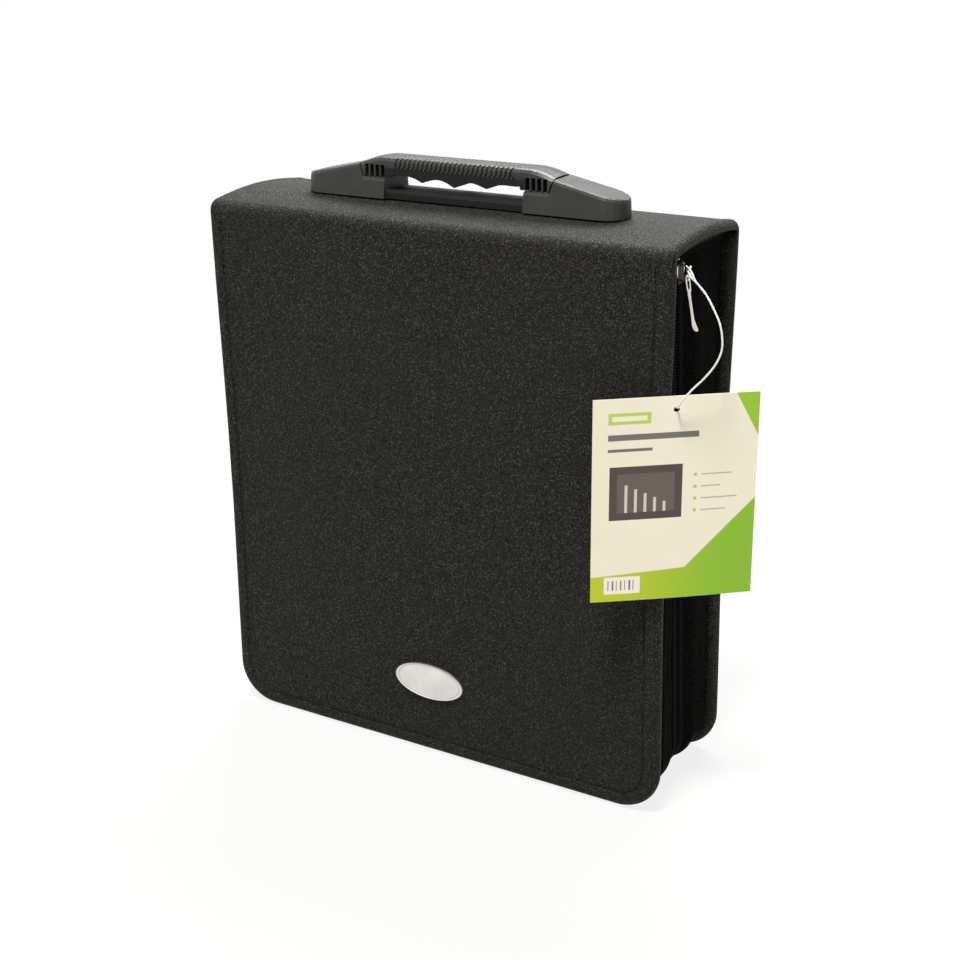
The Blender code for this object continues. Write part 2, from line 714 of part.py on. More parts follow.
def grip_end_x(height):
    """The hood's end leans with the wedge it faces, a running gap away from it."""
    rise = (height - SEAT_HEIGHT) / (WEDGE_HEIGHT - SEAT_HEIGHT)
    return SEAT_OUTER_X - GRIP_END_GAP + WEDGE_LEAN * rise


def grip_top(x):
    """Height of the grip's top above the handle's foot."""
    reach = grip_end_x(GRIP_END_HEIGHT) - GRIP_SHOULDER_X
    slope = min(1.0, max(0.0, (abs(x) - GRIP_SHOULDER_X) / reach))
    return GRIP_HEIGHT + (GRIP_END_HEIGHT - GRIP_HEIGHT) * slope ** 1.6


def grip_bottom(x):
    """Height of the grip's underside: scallops between the legs, level under the hoods."""
    share = abs(x) / SCALLOP_REACH
    if share > 1:
        return SEAT_HEIGHT + TOUCH_GAP
    wave = abs(math.sin(math.pi * SCALLOP_COUNT * share / 2))
    return CUSP_HEIGHT + CUSP_BOW * share ** 2 + SCALLOP_DEPTH * (1 - 0.95 * share ** 2) * wave


def grip_section(low, high, inset, groove):
    """A section in Y and height, from the front underside over the crown to the back underside."""
    half = GRIP_WIDTH / 2
    radius = min(GRIP_ROUNDING, 0.45 * (high - low))
    ledge = min(RIB_FOOT_HEIGHT, high - radius - 3 * SKIRT_INSET)
    section = [(inset - half, low), (inset - half, ledge), (groove - half, ledge + SKIRT_INSET)]
    for degrees, share in ((0, 1.0), (30, 1.0), (60, 0.8), (88, 0.2)):
        turn = math.radians(degrees)
        reach = radius - groove * share
        section.append((radius - half - reach * math.cos(turn), high - GRIP_CROWN - radius + reach * math.sin(turn)))
    return section + [(0, high)] + [(-y, z) for y, z in reversed(section)]


def grip_stations():
    """X, underside, top, inset of the skirt and depth of the groove along the grip."""
    reach = RIB_COUNT * RIB_PITCH / 2
    ribs = []
    for i in range(RIB_COUNT):
        start = -reach + i * RIB_PITCH
        for share, depth in ((0.0, 0.0), (0.12, RIB_DEPTH), (0.48, RIB_DEPTH), (0.6, 0.0)):
            x = start + share * RIB_PITCH
            ribs.append((x, grip_bottom(x), grip_top(x), SKIRT_INSET, depth))
    hood = []
    for x in (reach, reach + RIB_PITCH / 4, (reach + SCALLOP_REACH) / 2, SCALLOP_REACH):
        inset = SKIRT_INSET if x == reach else 0.0
        hood.append((x, grip_bottom(x), grip_top(x), inset, 0.0))
    first = SCALLOP_REACH + TOUCH_GAP
    last = grip_end_x(SEAT_HEIGHT)
    for share in (0.0, 0.35, 0.6, 0.8):
        x = first + (last - first) * share
        hood.append((x, grip_bottom(x), grip_top(x), 0.0, 0.0))
    mirrored = [(-x, *rest) for x, *rest in reversed(hood)]
    return mirrored[:-1] + ribs + hood


def make_grip(finish):
    """The ribbed grip with its hooded ends, fins and captive legs."""
    rings = []
    for x, low, high, inset, groove in grip_stations():
        section = grip_section(low, high, inset, groove)
        rings.append([(x, y, HANDLE_FOOT_Z + height) for y, height in section])
    end = grip_section(SEAT_HEIGHT + TOUCH_GAP, GRIP_END_HEIGHT, 0.0, 0.0)
    leaning = [(grip_end_x(height), y, HANDLE_FOOT_Z + height) for y, height in end]
    rings = [[(-x, y, z) for x, y, z in leaning]] + rings + [leaning]
    bm = bmesh.new()
    loft_into(bm, rings)
    grip = add_object("handle_grip", bm, finish, math.radians(30))

    def legs(tool):
        foot = leg_foot_z()
        start = leg_start_x()
        top = HANDLE_FOOT_Z + (SEAT_HEIGHT + RIB_FOOT_HEIGHT) / 2
        half = LEG_WIDTH / 2
        for side in (-1, 1):
            outline = [(start, foot), (start + LEG_LENGTH + TOE_LENGTH, foot),
                       (start + LEG_LENGTH + TOE_LENGTH, foot + TOE_THICKNESS),
                       (start + LEG_LENGTH, foot + TOE_THICKNESS), (start + LEG_LENGTH, top), (start, top)]
            loft_into(tool, [[(side * x, y, z) for x, z in outline] for y in (-half, half)])

    def fin_slots(tool):
        low = HANDLE_FOOT_Z + BAR_HEIGHT
        near = LEG_WIDTH / 2 + LEG_CLEARANCE
        middle = (SEAT_INNER_X + grip_end_x(SEAT_HEIGHT)) / 2
        for i in range(FIN_COUNT):
            place = middle + (i - (FIN_COUNT - 1) / 2) * FIN_PITCH
            high = HANDLE_FOOT_Z + min(WEDGE_HEIGHT, grip_top(place) - FIN_HOOD)
            for side in (-1, 1):
                for front in (-1, 1):
                    x = side * place
                    ys = sorted((front * near, front * GRIP_WIDTH))
                    box_into(tool, (x - FIN_SLOT / 2, ys[0], low), (x + FIN_SLOT / 2, ys[1], high))

    cut(grip, "grip_legs", legs, "UNION")
    cut(grip, "grip_fins_cut", fin_slots)
    return grip


def make_handle_rivet(name, finish, x):
    """A rivet from under the lining, through the spine panel, into the handle's base."""
    shoulder = LINING_Z - TOUCH_GAP
    top = HANDLE_FOOT_Z + RIVET_DEPTH
    head = [(RIVET_HEAD_RADIUS * 0.8, shoulder - RIVET_HEAD_HEIGHT), (RIVET_HEAD_RADIUS, shoulder - RIVET_HEAD_HEIGHT / 3),
            (RIVET_HEAD_RADIUS, shoulder)]
    bm = bmesh.new()
    lathe_into(bm, x, head + [(RIVET_SHANK_RADIUS, shoulder), (RIVET_SHANK_RADIUS, top)])
    return add_object(name, bm, finish, math.radians(40))


def ring_x(index):
    """Place of one ring along the spine."""
    return (index - (RING_COUNT - 1) / 2) * RING_PITCH


def make_ring_cover(finish):
    """The sprung steel channel over the blades, with notches for the rings and ears for the triggers."""
    half = MECH_WIDTH / 2
    crown = MECH_CROWN_WIDTH / 2
    low = MECH_TOP_Z - MECH_HEIGHT
    side_z = MECH_TOP_Z - MECH_SIDE_HEIGHT
    outer = [(-half, MECH_TOP_Z), (-half, side_z), (-crown, low), (crown, low), (half, side_z), (half, MECH_TOP_Z)]
    sheet = MECH_SHEET
    inner = [(half - sheet, MECH_TOP_Z), (half - sheet, side_z + sheet / 2), (crown, low + sheet),
             (-crown, low + sheet), (-half + sheet, side_z + sheet / 2), (-half + sheet, MECH_TOP_Z)]
    bm = bmesh.new()
    loft_into(bm, [[(x, y, z) for y, z in outer + inner] for x in (-MECH_HALF_LENGTH, MECH_HALF_LENGTH)])
    channel = add_object("ring_cover", bm, finish)

    def notches(tool):
        for i in range(RING_COUNT):
            for side in (-1, 1):
                ys = sorted((side * (crown + sheet), side * (half + sheet)))
                x = ring_x(i)
                top = BLADE_Z - BLADE_THICKNESS / 4
                box_into(tool, (x - RING_SLOT / 2, ys[0], low - sheet), (x + RING_SLOT / 2, ys[1], top))

    def ends(tool):
        for side in (-1, 1):
            xs = sorted((side * (MECH_HALF_LENGTH - MECH_EAR_LENGTH), side * (MECH_HALF_LENGTH + sheet)))
            reach = half - sheet * 1.5
            box_into(tool, (xs[0], -reach, low - sheet), (xs[1], reach, MECH_TOP_Z + sheet))

    def bores(tool):
        for side in (-1, 1):
            x = side * RING_RIVET_X
            rod_into(tool, (x, 0, low - sheet), (x, 0, low + 3 * sheet), RIVET_SHANK_RADIUS + BORE_CLEARANCE)
            radius = PIN_RADIUS + BORE_CLEARANCE
            x = side * TRIGGER_X
            rod_into(tool, (x, -half - sheet, TRIGGER_Z), (x, half + sheet, TRIGGER_Z), radius)

    cut(channel, "ring_notches_cut", notches)
    cut(channel, "ring_cover_ends_cut", ends)
    cut(channel, "ring_cover_bores_cut", bores)
    return channel


def make_ring_rivet(name, finish, x):
    """A rivet from the channel's crown, between the blades, into the spine panel."""
    shoulder = MECH_TOP_Z - MECH_HEIGHT - TOUCH_GAP
    top = BOARD_Z + RING_RIVET_RISE
    radius = RIVET_HEAD_RADIUS * 0.8
    head = [(radius * 0.8, shoulder - RIVET_HEAD_HEIGHT), (radius, shoulder - RIVET_HEAD_HEIGHT / 3), (radius, shoulder)]
    bm = bmesh.new()
    lathe_into(bm, x, head + [(RIVET_SHANK_RADIUS, shoulder), (RIVET_SHANK_RADIUS, top)])
    return add_object(name, bm, finish, math.radians(40))


def make_blade(name, finish, side):
    """One of the two blades that carry the half rings; side is -1 in front."""
    ys = sorted((side * TOUCH_GAP, side * (BLADE_PIVOT_Y + BLADE_LIP)))
    half = BLADE_THICKNESS / 2
    bm = bmesh.new()
    low = (-BLADE_HALF_LENGTH, ys[0], BLADE_Z - half)
    box_into(bm, low, (BLADE_HALF_LENGTH, ys[1], BLADE_Z + half))
    blade = add_object(name, bm, finish)

    def rivet_room(tool):
        for x in (-RING_RIVET_X, RING_RIVET_X):
            radius = RIVET_SHANK_RADIUS * 1.8
            rod_into(tool, (x, 0, BLADE_Z - 2 * half), (x, 0, BLADE_Z + 2 * half), radius)

    cut(blade, name + "_cut", rivet_room)
    return blade


def make_half_ring(name, finish, side, x):
    """Half a ring, from under its blade down to the middle, where it meets the other half."""
    wire = RING_WIRE / 2
    rise = (BLADE_Z - BLADE_THICKNESS / 2 - TOUCH_GAP - RING_CENTRE_Z) / (RING_RADIUS + wire)
    start = TOUCH_GAP / 2 / RING_RADIUS
    end = math.pi - math.acos(rise)
    steps = 12
    sides = 8
    bm = bmesh.new()
    rings = []
    for i in range(steps + 1):
        turn = start + (end - start) * i / steps
        radial = Vector((0, side * math.sin(turn), -math.cos(turn)))
        centre = Vector((x, 0, RING_CENTRE_Z)) + radial * RING_RADIUS
        spokes = [2 * math.pi * k / sides for k in range(sides)]
        rings.append([centre + wire * (math.cos(s) * radial + Vector((math.sin(s), 0, 0))) for s in spokes])
    loft_into(bm, rings)
    return add_object(name, bm, finish, math.radians(50))


def make_trigger(name, finish, side):
    """A lever at the mechanism's end: its nose rests over the blades, its tab hangs down."""
    nose_low = BLADE_Z + BLADE_THICKNESS / 2 + NOSE_GAP
    sheet = TRIGGER_SHEET
    bm = bmesh.new()
    pin_half = MECH_WIDTH / 2 - MECH_SHEET / 2
    rod_into(bm, (side * TRIGGER_X, -pin_half, TRIGGER_Z), (side * TRIGGER_X, pin_half, TRIGGER_Z), PIN_RADIUS)
    trigger = add_object(name, bm, finish, math.radians(40))

    def nose(tool):
        xs = sorted((side * (TRIGGER_X - NOSE_LENGTH), side * (TRIGGER_X + sheet / 4)))
        box_into(tool, (xs[0], -NOSE_WIDTH / 2, nose_low), (xs[1], NOSE_WIDTH / 2, nose_low + sheet))

    def lever(tool):
        near = TRIGGER_X - sheet / 2
        foot = TRIGGER_Z - TRIGGER_LENGTH
        outline = [(near, TRIGGER_Z + sheet / 3), (near, foot), (near + sheet + TRIGGER_TAB, foot - sheet),
                   (near + sheet + TRIGGER_TAB, foot), (near + sheet, foot + sheet), (near + sheet, TRIGGER_Z + sheet / 3)]
        half = TRIGGER_WIDTH / 2
        loft_into(tool, [[(side * x, y, z) for x, z in outline] for y in (-half, half)])

    cut(trigger, name + "_nose", nose, "UNION")
    cut(trigger, name + "_lever", lever, "UNION")
    return trigger


def make_sleeves(finish):
    """The bundle of sleeves: one strip at the rings, and leaves that fan out below it."""
    top = SLEEVE_HOLE_Z + SLEEVE_HOLE_RADIUS + SLEEVE_MARGIN
    root = top - SLEEVE_STRIP
    foot = SLEEVE_FOOT_Z
    pitch = SLEEVE_SPREAD / SLEEVE_COUNT
    outline = [(-SLEEVE_BUNDLE / 2, top), (-SLEEVE_BUNDLE / 2, root)]
    for i in range(SLEEVE_COUNT):
        y = (i + 0.5 - SLEEVE_COUNT / 2) * pitch
        outline += [(y - SLEEVE_SHEET / 2, foot), (y + SLEEVE_SHEET / 2, foot)]
        if i < SLEEVE_COUNT - 1:
            outline.append(((y + pitch / 2) * SLEEVE_BUNDLE / SLEEVE_SPREAD, root))
    outline += [(SLEEVE_BUNDLE / 2, root), (SLEEVE_BUNDLE / 2, top)]
    bm = bmesh.new()
    loft_into(bm, [[(x, y, z) for y, z in outline] for x in (-SLEEVE_WIDTH / 2, SLEEVE_WIDTH / 2)])
    sleeves = add_object("sleeve_pages", bm, finish)

    def holes(tool):
        for i in range(RING_COUNT):
            x = ring_x(i)
            start = (x, -SLEEVE_BUNDLE, SLEEVE_HOLE_Z)
            rod_into(tool, start, (x, SLEEVE_BUNDLE, SLEEVE_HOLE_Z), SLEEVE_HOLE_RADIUS, 16)

    cut(sleeves, "sleeve_holes_cut", holes)
    return sleeves


def ticket_axes():
    """The ticket leans on the front cover's rounded right edge: a point on its back, normal and width."""
    normal = Vector((math.sin(TICKET_ANGLE), -math.cos(TICKET_ANGLE), 0))
    across = Vector((math.cos(TICKET_ANGLE), math.sin(TICKET_ANGLE), 0))
    edge = Vector((CASE_LENGTH / 2 - EDGE_RADIUS, -CASE_DEPTH / 2 + EDGE_RADIUS, 0))
    return edge + normal * (EDGE_RADIUS + TOUCH_GAP) + across * TICKET_SHIFT, normal, across


def make_ticket(finish):
    """The swing ticket, a card with one hole near its top."""
    back, normal, across = ticket_axes()
    half = TICKET_WIDTH / 2
    corners = [(-half, TICKET_TOP_Z - TICKET_HEIGHT), (half, TICKET_TOP_Z - TICKET_HEIGHT),
               (half, TICKET_TOP_Z), (-half, TICKET_TOP_Z)]
    bm = bmesh.new()
    rings = []
    for depth in (0.0, TICKET_THICKNESS):
        rings.append([back + normal * depth + across * u + Vector((0, 0, z)) for u, z in corners])
    loft_into(bm, rings)
    ticket = add_object("swing_ticket", bm, finish)

    def hole(tool):
        centre = back + Vector((0, 0, TICKET_TOP_Z - TICKET_HOLE_DROP))
        reach = normal * TICKET_THICKNESS * 4
        rod_into(tool, centre - reach, centre + reach, TICKET_HOLE_RADIUS, 16)

    cut(ticket, "ticket_hole_cut", hole)
    return ticket


def string_places():
    """The string's route points, counted from the upper right corner of the front cover."""
    corner = Vector((CASE_LENGTH / 2, -CASE_DEPTH / 2, CASE_HEIGHT))
    return [corner + Vector(offset) for offset in STRING_ROUTE]


def smooth_route(route, count):
    """Even points along a smooth curve through the route's own points."""
    ends = [2 * route[0] - route[1]] + route + [2 * route[-1] - route[-2]]
    fine = []
    steps = 16
    for a, b, c, d in zip(ends, ends[1:], ends[2:], ends[3:]):
        for i in range(steps):
            t = i / steps
            curve = 2 * b + (c - a) * t + (2 * a - 5 * b + 4 * c - d) * t * t + (3 * b - a - 3 * c + d) * t ** 3
            fine.append(curve / 2)
    fine.append(route[-1])
    lengths = [0.0]
    for p, q in zip(fine, fine[1:]):
        lengths.append(lengths[-1] + (q - p).length)
    even = []
    k = 0
    for i in range(count):
        wanted = lengths[-1] * i / (count - 1)
        while k < len(fine) - 2 and lengths[k + 1] < wanted:
            k += 1
        share = (wanted - lengths[k]) / (lengths[k + 1] - lengths[k])
        even.append(fine[k].lerp(fine[k + 1], share))
    return even


def make_string(finish):
    """The string from the slider over the ticket's top edge and through its hole."""
    curve = bpy.data.curves.new("ticket_string", "CURVE")
    curve.dimensions = "3D"
    curve.bevel_depth = STRING_DIAMETER / 2
    curve.bevel_resolution = 2
    curve.use_fill_caps = True
    curve.materials.append(finish)
    spline = curve.splines.new("POLY")
    points = smooth_route(string_places(), STRING_POINTS)
    spline.points.add(len(points) - 1)
    for target, point in zip(spline.points, points):
        target.co = (*point, 1.0)
    made = bpy.data.objects.new("ticket_string", curve)
    bpy.context.collection.objects.link(made)
    return made


def make_knot(finish):
    """The knot behind the ticket that ends the string."""
    before, last = string_places()[-2:]
    onward = (last - before).normalized()
    bm = bmesh.new()
    bmesh.ops.create_uvsphere(bm, u_segments=10, v_segments=7, radius=KNOT_RADIUS)
    bmesh.ops.translate(bm, verts=bm.verts, vec=last + onward * (KNOT_RADIUS + TOUCH_GAP))
    return add_object("string_knot", bm, finish, math.radians(60))


def build():
    """Make every piece and hang the moving ones on their pivots."""
    for old in list(bpy.data.objects):
        bpy.data.objects.remove(old, do_unlink=True)

    leatherette = material("black leatherette", (0.020, 0.020, 0.017), 0.55)
    lining_cloth = material("black lining", (0.018, 0.018, 0.018), 0.8)
    gusset_cloth = material("gusset leatherette", (0.012, 0.012, 0.011), 0.6)
    tape_cloth = material("zip tape", (0.010, 0.010, 0.010), 0.85)
    coil_plastic = material("zip coil", (0.013, 0.013, 0.013), 0.45)
    handle_plastic = material("handle plastic", (0.055, 0.055, 0.055), 0.42)
    grip_plastic = material("grip plastic", (0.045, 0.045, 0.045), 0.38)
    nickel = material("nickel", (0.62, 0.58, 0.50), 0.25, 1.0)
    steel = material("bright steel", (0.60, 0.60, 0.60), 0.28, 1.0)
    film = material("sleeve film", (0.55, 0.57, 0.58), 0.25)
    enamel = material("badge enamel", (0.80, 0.80, 0.80), 0.2)
    card = material("ticket card", (0.84, 0.80, 0.68), 0.5)
    cord = material("white string", (0.85, 0.85, 0.84), 0.5)

    make_spine_panel(leatherette)
    make_spine_lining(lining_cloth)
    make_handle_base(handle_plastic)
    make_ring_cover(steel)
    make_sleeves(film)
    for name, side in (("left", -1), ("right", 1)):
        make_handle_rivet("handle_rivet_" + name, steel, side * HANDLE_RIVET_X)
        make_ring_rivet("ring_rivet_" + name, steel, side * RING_RIVET_X)

    front_hinge = add_pivot("front_hinge", (0, -CASE_DEPTH / 2, HINGE_Z))
    back_hinge = add_pivot("back_hinge", (0, CASE_DEPTH / 2, HINGE_Z))
    for name, side, hinge in (("front", -1, front_hinge), ("back", 1, back_hinge)):
        hang_on(hinge, make_cover(name + "_cover", leatherette, side))
        hang_on(hinge, make_cover_lining(name + "_lining", lining_cloth, side))
        hang_on(hinge, *gusset_pieces(side, name, gusset_cloth, tape_cloth, coil_plastic))
        hang_on(hinge, make_zip_stop(name + "_zip_stop_left", nickel, side, -1))
        hang_on(hinge, make_zip_stop(name + "_zip_stop_right", nickel, side, 1))
    hang_on(front_hinge, make_badge(enamel), make_ticket(card), make_string(cord), make_knot(cord))

    slide = add_pivot("slider_place", slider_frame().translation)
    hang_on(slide, make_slider(nickel))
    swing = add_pivot("pull_pivot", pull_pivot())
    hang_on(swing, make_pull(nickel))
    lift = add_pivot("grip_lift", (0, 0, HANDLE_FOOT_Z + SEAT_HEIGHT))
    hang_on(lift, make_grip(grip_plastic))

    for name, side in (("front", -1), ("back", 1)):
        arm = add_pivot(name + "_ring_pivot", (0, side * BLADE_PIVOT_Y, BLADE_Z))
        hang_on(arm, make_blade(name + "_blade", steel, side))
        for i in range(RING_COUNT):
            hang_on(arm, make_half_ring(f"{name}_half_ring_{i + 1}", steel, side, ring_x(i)))
    for name, side in (("left", -1), ("right", 1)):
        pin = add_pivot(name + "_trigger_pin", (side * TRIGGER_X, 0, TRIGGER_Z))
        hang_on(pin, make_trigger("trigger_" + name, steel, side))


build()
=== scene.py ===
"""Looks of a zip-round disc case: pebbled leatherette, moulded handle, metal zip pull and swing ticket."""
import math

import bmesh
import bpy
from mathutils import Matrix, Vector, noise


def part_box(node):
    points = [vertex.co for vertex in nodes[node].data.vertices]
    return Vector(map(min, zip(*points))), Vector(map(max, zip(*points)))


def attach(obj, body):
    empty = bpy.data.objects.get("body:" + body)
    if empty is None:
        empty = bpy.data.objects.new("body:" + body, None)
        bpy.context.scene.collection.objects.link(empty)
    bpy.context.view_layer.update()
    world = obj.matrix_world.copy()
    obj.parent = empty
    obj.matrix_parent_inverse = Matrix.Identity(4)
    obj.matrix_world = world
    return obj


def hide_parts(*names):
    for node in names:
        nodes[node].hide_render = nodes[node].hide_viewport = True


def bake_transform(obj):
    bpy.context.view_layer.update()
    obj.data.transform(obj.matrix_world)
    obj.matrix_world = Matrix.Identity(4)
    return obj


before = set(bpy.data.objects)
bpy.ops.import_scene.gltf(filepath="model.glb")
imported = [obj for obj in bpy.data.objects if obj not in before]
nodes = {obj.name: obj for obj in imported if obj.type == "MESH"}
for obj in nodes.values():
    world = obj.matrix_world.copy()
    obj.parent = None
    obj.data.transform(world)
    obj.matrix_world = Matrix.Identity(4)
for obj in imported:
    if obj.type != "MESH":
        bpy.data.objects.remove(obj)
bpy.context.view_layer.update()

# Sizes of the case in metres, and the levels of the studio's light
LENGTH = 0.290
DEPTH = 0.088
HEIGHT = 0.318
CROWN = 0.003
FOLD_Z = 0.3105
BEAD = 0.008
GROOVE = 0.0016
PANEL_EDGE = BEAD + GROOVE
GROOVE_DEPTH = 0.0012
PILLOW_REACH = 0.05
FACE_RECESS = 0.0004
EDGE_ROUND = 0.0045
CORNER = 0.025
WAIST = 0.0018
COVER_BOARD = 0.0055
FOLD_RADIUS = 0.007
FOLD_SKIN = 0.0015
OUTER_FACE = -0.002
MERGE = 0.000002
SEAM_Y = 0.0352
GUSSET_HALF = 0.138
GUSSET_BOTTOM = 0.007
ZIP_TOP_Y = -0.0242
ZIP_BOTTOM_Y = -0.002
SLIDER_Z = 0.302
ZIP_SLOPE = (ZIP_BOTTOM_Y - ZIP_TOP_Y) / (SLIDER_Z - CORNER)
ZIP_TILT = math.atan(ZIP_SLOPE)
PIVOT_RISE = 0.0031
PIVOT_LIFT = -0.0015
BRIDGE_RISE = 0.0053
PULL_TILT = math.radians(8.5)
TICKET_ANGLE = math.radians(39.0)
TICKET_TOP = 0.2436
TICKET_WIDTH = 0.086
TICKET_HEIGHT = 0.1102
TICKET_HOLE_DROP = 0.007
END_DEPTH = 0.0052
GRIP_RIBS_END = 0.3381
BASE_BAR_HALF = 0.0436
GUSSET_SKIN = 0.0012
GUSSET_SEWN = 0.0094
TAPE_INNER = 0.0024
TAPE_WIDTH = 0.0052
TEETH_PITCH = 0.0016
TEETH_TIP = 0.0006
TEETH_ROOT = 0.0020
PLATE_FACE = 0.0028
SHARP_METAL = math.radians(35)
CARD_HALF = 0.00025
CARD_BOW = 0.0009
CARD_HOLE = 0.0017
CARD_HOLE_PATCH = 0.0041
STRING_THICKNESS = 0.001
SLEEVE_COUNT = 30
SLEEVE_TOP = 0.2863
SLEEVE_ROOT = 0.2705
SLEEVE_FOOT = 0.0150
SLEEVE_WELD = 0.1435
SLEEVE_HALF = 0.130
STRIP_HALF = 0.0075
RING_XS = (-0.105, -0.035, 0.035, 0.105)
RING_Z = 0.2789
RING_HOLE = 0.004
CAMERA_AZIMUTH = math.radians(31.0)
CAMERA_ELEVATION = math.radians(20.5)
CAMERA_ROLL = math.radians(-0.71)
CAMERA_TARGET = Vector((0.00825, 0, 0.16015))
CAMERA_DISTANCE = 0.9226
CAMERA_LENS = 59.6
KEY_POWER = 54.0
BACK_POWER = 42.0
FLOOR_GLOW = 0.84
WORLD_LIGHT = 0.1
SEEING_RAYS = ("Is Camera Ray", "Is Glossy Ray", "Is Transmission Ray")

# A stitch from end to end: place, size and lift. A tooth from root to tip: reach, size, outer and inner side
STITCH_FORM = (
    (-0.5, 0.35, -0.25), (-0.35, 0.85, 0.05), (0.0, 1.0, 0.15), (0.35, 0.85, 0.05), (0.5, 0.35, -0.25))
TOOTH_FORM = (
    (0.0, 0.30, -0.0007, 0.0003), (0.15, 0.40, -0.0010, 0.0004), (0.6, 0.34, -0.00095, 0.0004),
    (0.85, 0.46, -0.00085, 0.0002), (1.0, 0.28, -0.0006, 0.0))


class Link:
    """A shader socket that takes part in sums."""

    def __init__(self, finish, socket):
        self.finish = finish
        self.socket = socket

    def maths(self, operation, *values):
        inputs = dict(enumerate(values))
        return self.finish.add("ShaderNodeMath", {"operation": operation}, inputs)

    def __add__(self, other):
        return self.maths("ADD", self, other)

    def __radd__(self, other):
        return self.maths("ADD", other, self)

    def __sub__(self, other):
        return self.maths("SUBTRACT", self, other)

    def __rsub__(self, other):
        return self.maths("SUBTRACT", other, self)

    def __mul__(self, other):
        return self.maths("MULTIPLY", self, other)

    def __rmul__(self, other):
        return self.maths("MULTIPLY", other, self)

    def __truediv__(self, other):
        return self.maths("DIVIDE", self, other)

    def __pow__(self, other):
        return self.maths("POWER", self, other)

    def __gt__(self, other):
        return self.maths("GREATER_THAN", self, other)

    def __lt__(self, other):
        return self.maths("LESS_THAN", self, other)

    def __abs__(self):
        return self.maths("ABSOLUTE", self)


class Finish:
    """A node material that is built up from expressions."""

    def __init__(self, name):
        self.material = bpy.data.materials.new(name)
        self.material.use_nodes = True
        self.nodes = self.material.node_tree.nodes
        self.links = self.material.node_tree.links
        self.shader = self.nodes["Principled BSDF"]
        self.place = self.add("ShaderNodeTexCoord", {}, {}, "Object")
        parts = self.add("ShaderNodeSeparateXYZ", {}, {0: self.place}, None)
        self.x, self.y, self.z = (Link(self, socket) for socket in parts.outputs)

    def add(self, kind, settings, inputs, output=0):
        node = self.nodes.new(kind)
        for name, value in settings.items():
            if name == "stops":
                ramp = node.color_ramp
                while len(ramp.elements) < len(value):
                    ramp.elements.new(0.5)
                for element, (position, colour) in zip(ramp.elements, value):
                    element.position = position
                    element.color = (*colour, 1.0) if len(colour) == 3 else colour
            else:
                setattr(node, name, value)
        for name, value in inputs.items():
            self.feed(node.inputs[name], value)
        return node if output is None else Link(self, node.outputs[output])

    def feed(self, socket, value):
        if isinstance(value, Link):
            self.links.new(value.socket, socket)
        elif isinstance(value, (tuple, list)) and socket.type == "RGBA" and len(value) == 3:
            socket.default_value = (*value, 1.0)
        else:
            socket.default_value = value

    def noise(self, scale, detail=3.0, roughness=0.55, place=None):
        inputs = {"Vector": place or self.place, "Scale": scale, "Detail": detail, "Roughness": roughness}
        return self.add("ShaderNodeTexNoise", {}, inputs, "Fac")

    def cells(self, scale, place, output="Distance"):
        return self.add("ShaderNodeTexVoronoi", {}, {"Vector": place, "Scale": scale}, output)

    def stretched(self, scale):
        return self.add("ShaderNodeMapping", {}, {"Vector": self.place, "Scale": scale})

    def mix(self, share, first, second):
        node = self.add("ShaderNodeMix", {"data_type": "RGBA"}, {}, None)
        self.feed(node.inputs["Factor"], share)
        self.feed(node.inputs[6], first)
        self.feed(node.inputs[7], second)
        return Link(self, node.outputs[2])

    def clamp(self, value, low=0.0, high=1.0):
        return self.add("ShaderNodeMapRange", {}, {"Value": value, "From Min": low, "From Max": high})

    def smooth(self, value, low, high):
        settings = {"interpolation_type": "SMOOTHSTEP"}
        return self.add("ShaderNodeMapRange", settings, {"Value": value, "From Min": low, "From Max": high})

    def bump(self, height, depth, strength):
        inputs = {"Height": height, "Distance": depth, "Strength": strength}
        return self.add("ShaderNodeBump", {}, inputs)

    def set(self, **inputs):
        for name, value in inputs.items():
            self.feed(self.shader.inputs[name.replace("_", " ")], value)
        return self.material


def leatherette(name, dark, light, pebble=0.0009, roughness=0.5, depth=0.00026, shine=0.1):
    """Black pebble-grain leatherette: domed cells with painted light on their tops, painted shade between them
    and painted glints on some of them.
    """
    f = Finish(name)
    warp = f.add("ShaderNodeTexNoise", {}, {"Vector": f.place, "Scale": 620.0, "Detail": 2.0}, "Color")
    shift = f.add("ShaderNodeVectorMath", {"operation": "SCALE"}, {0: warp, "Scale": 0.0009})
    place = f.add("ShaderNodeVectorMath", {"operation": "ADD"}, {0: f.place, 1: shift})
    cell = f.cells(1 / pebble, place)
    shade = f.cells(1 / pebble, place, "Color")
    spark = f.add("ShaderNodeSeparateColor", {}, {0: shade})
    dome = f.smooth(1 - cell * 1.25, 0.0, 0.85)
    broad = f.noise(9.0, 4.0, 0.6)
    patches = f.noise(140.0, 3.0)
    # painted glints: a share of the pebble tops is painted far lighter, as highlights, and made less rough
    painted_glint = f.smooth(spark, 0.62, 1.0) * dome
    # painted light on the pebble tops and painted shade in the valleys between them, varied by random patches
    colour = f.mix(dome * (0.5 + patches * 0.7), dark, light)
    colour = f.mix(painted_glint * 0.7, colour, tuple(min(1.0, 3.6 * c) for c in light))
    middle_tone = tuple(0.5 * (a + b) for a, b in zip(dark, light))
    colour = f.mix(f.smooth(broad, 0.35, 0.8) * 0.35, colour, middle_tone)
    height = dome + patches * 0.5
    rough = roughness + 0.16 * (1 - dome) - 0.10 * painted_glint + (broad - 0.5) * 0.12
    normal = f.bump(height, depth, 0.9)
    return f.set(Base_Color=colour, Roughness=rough, Normal=normal, Specular_IOR_Level=shine)


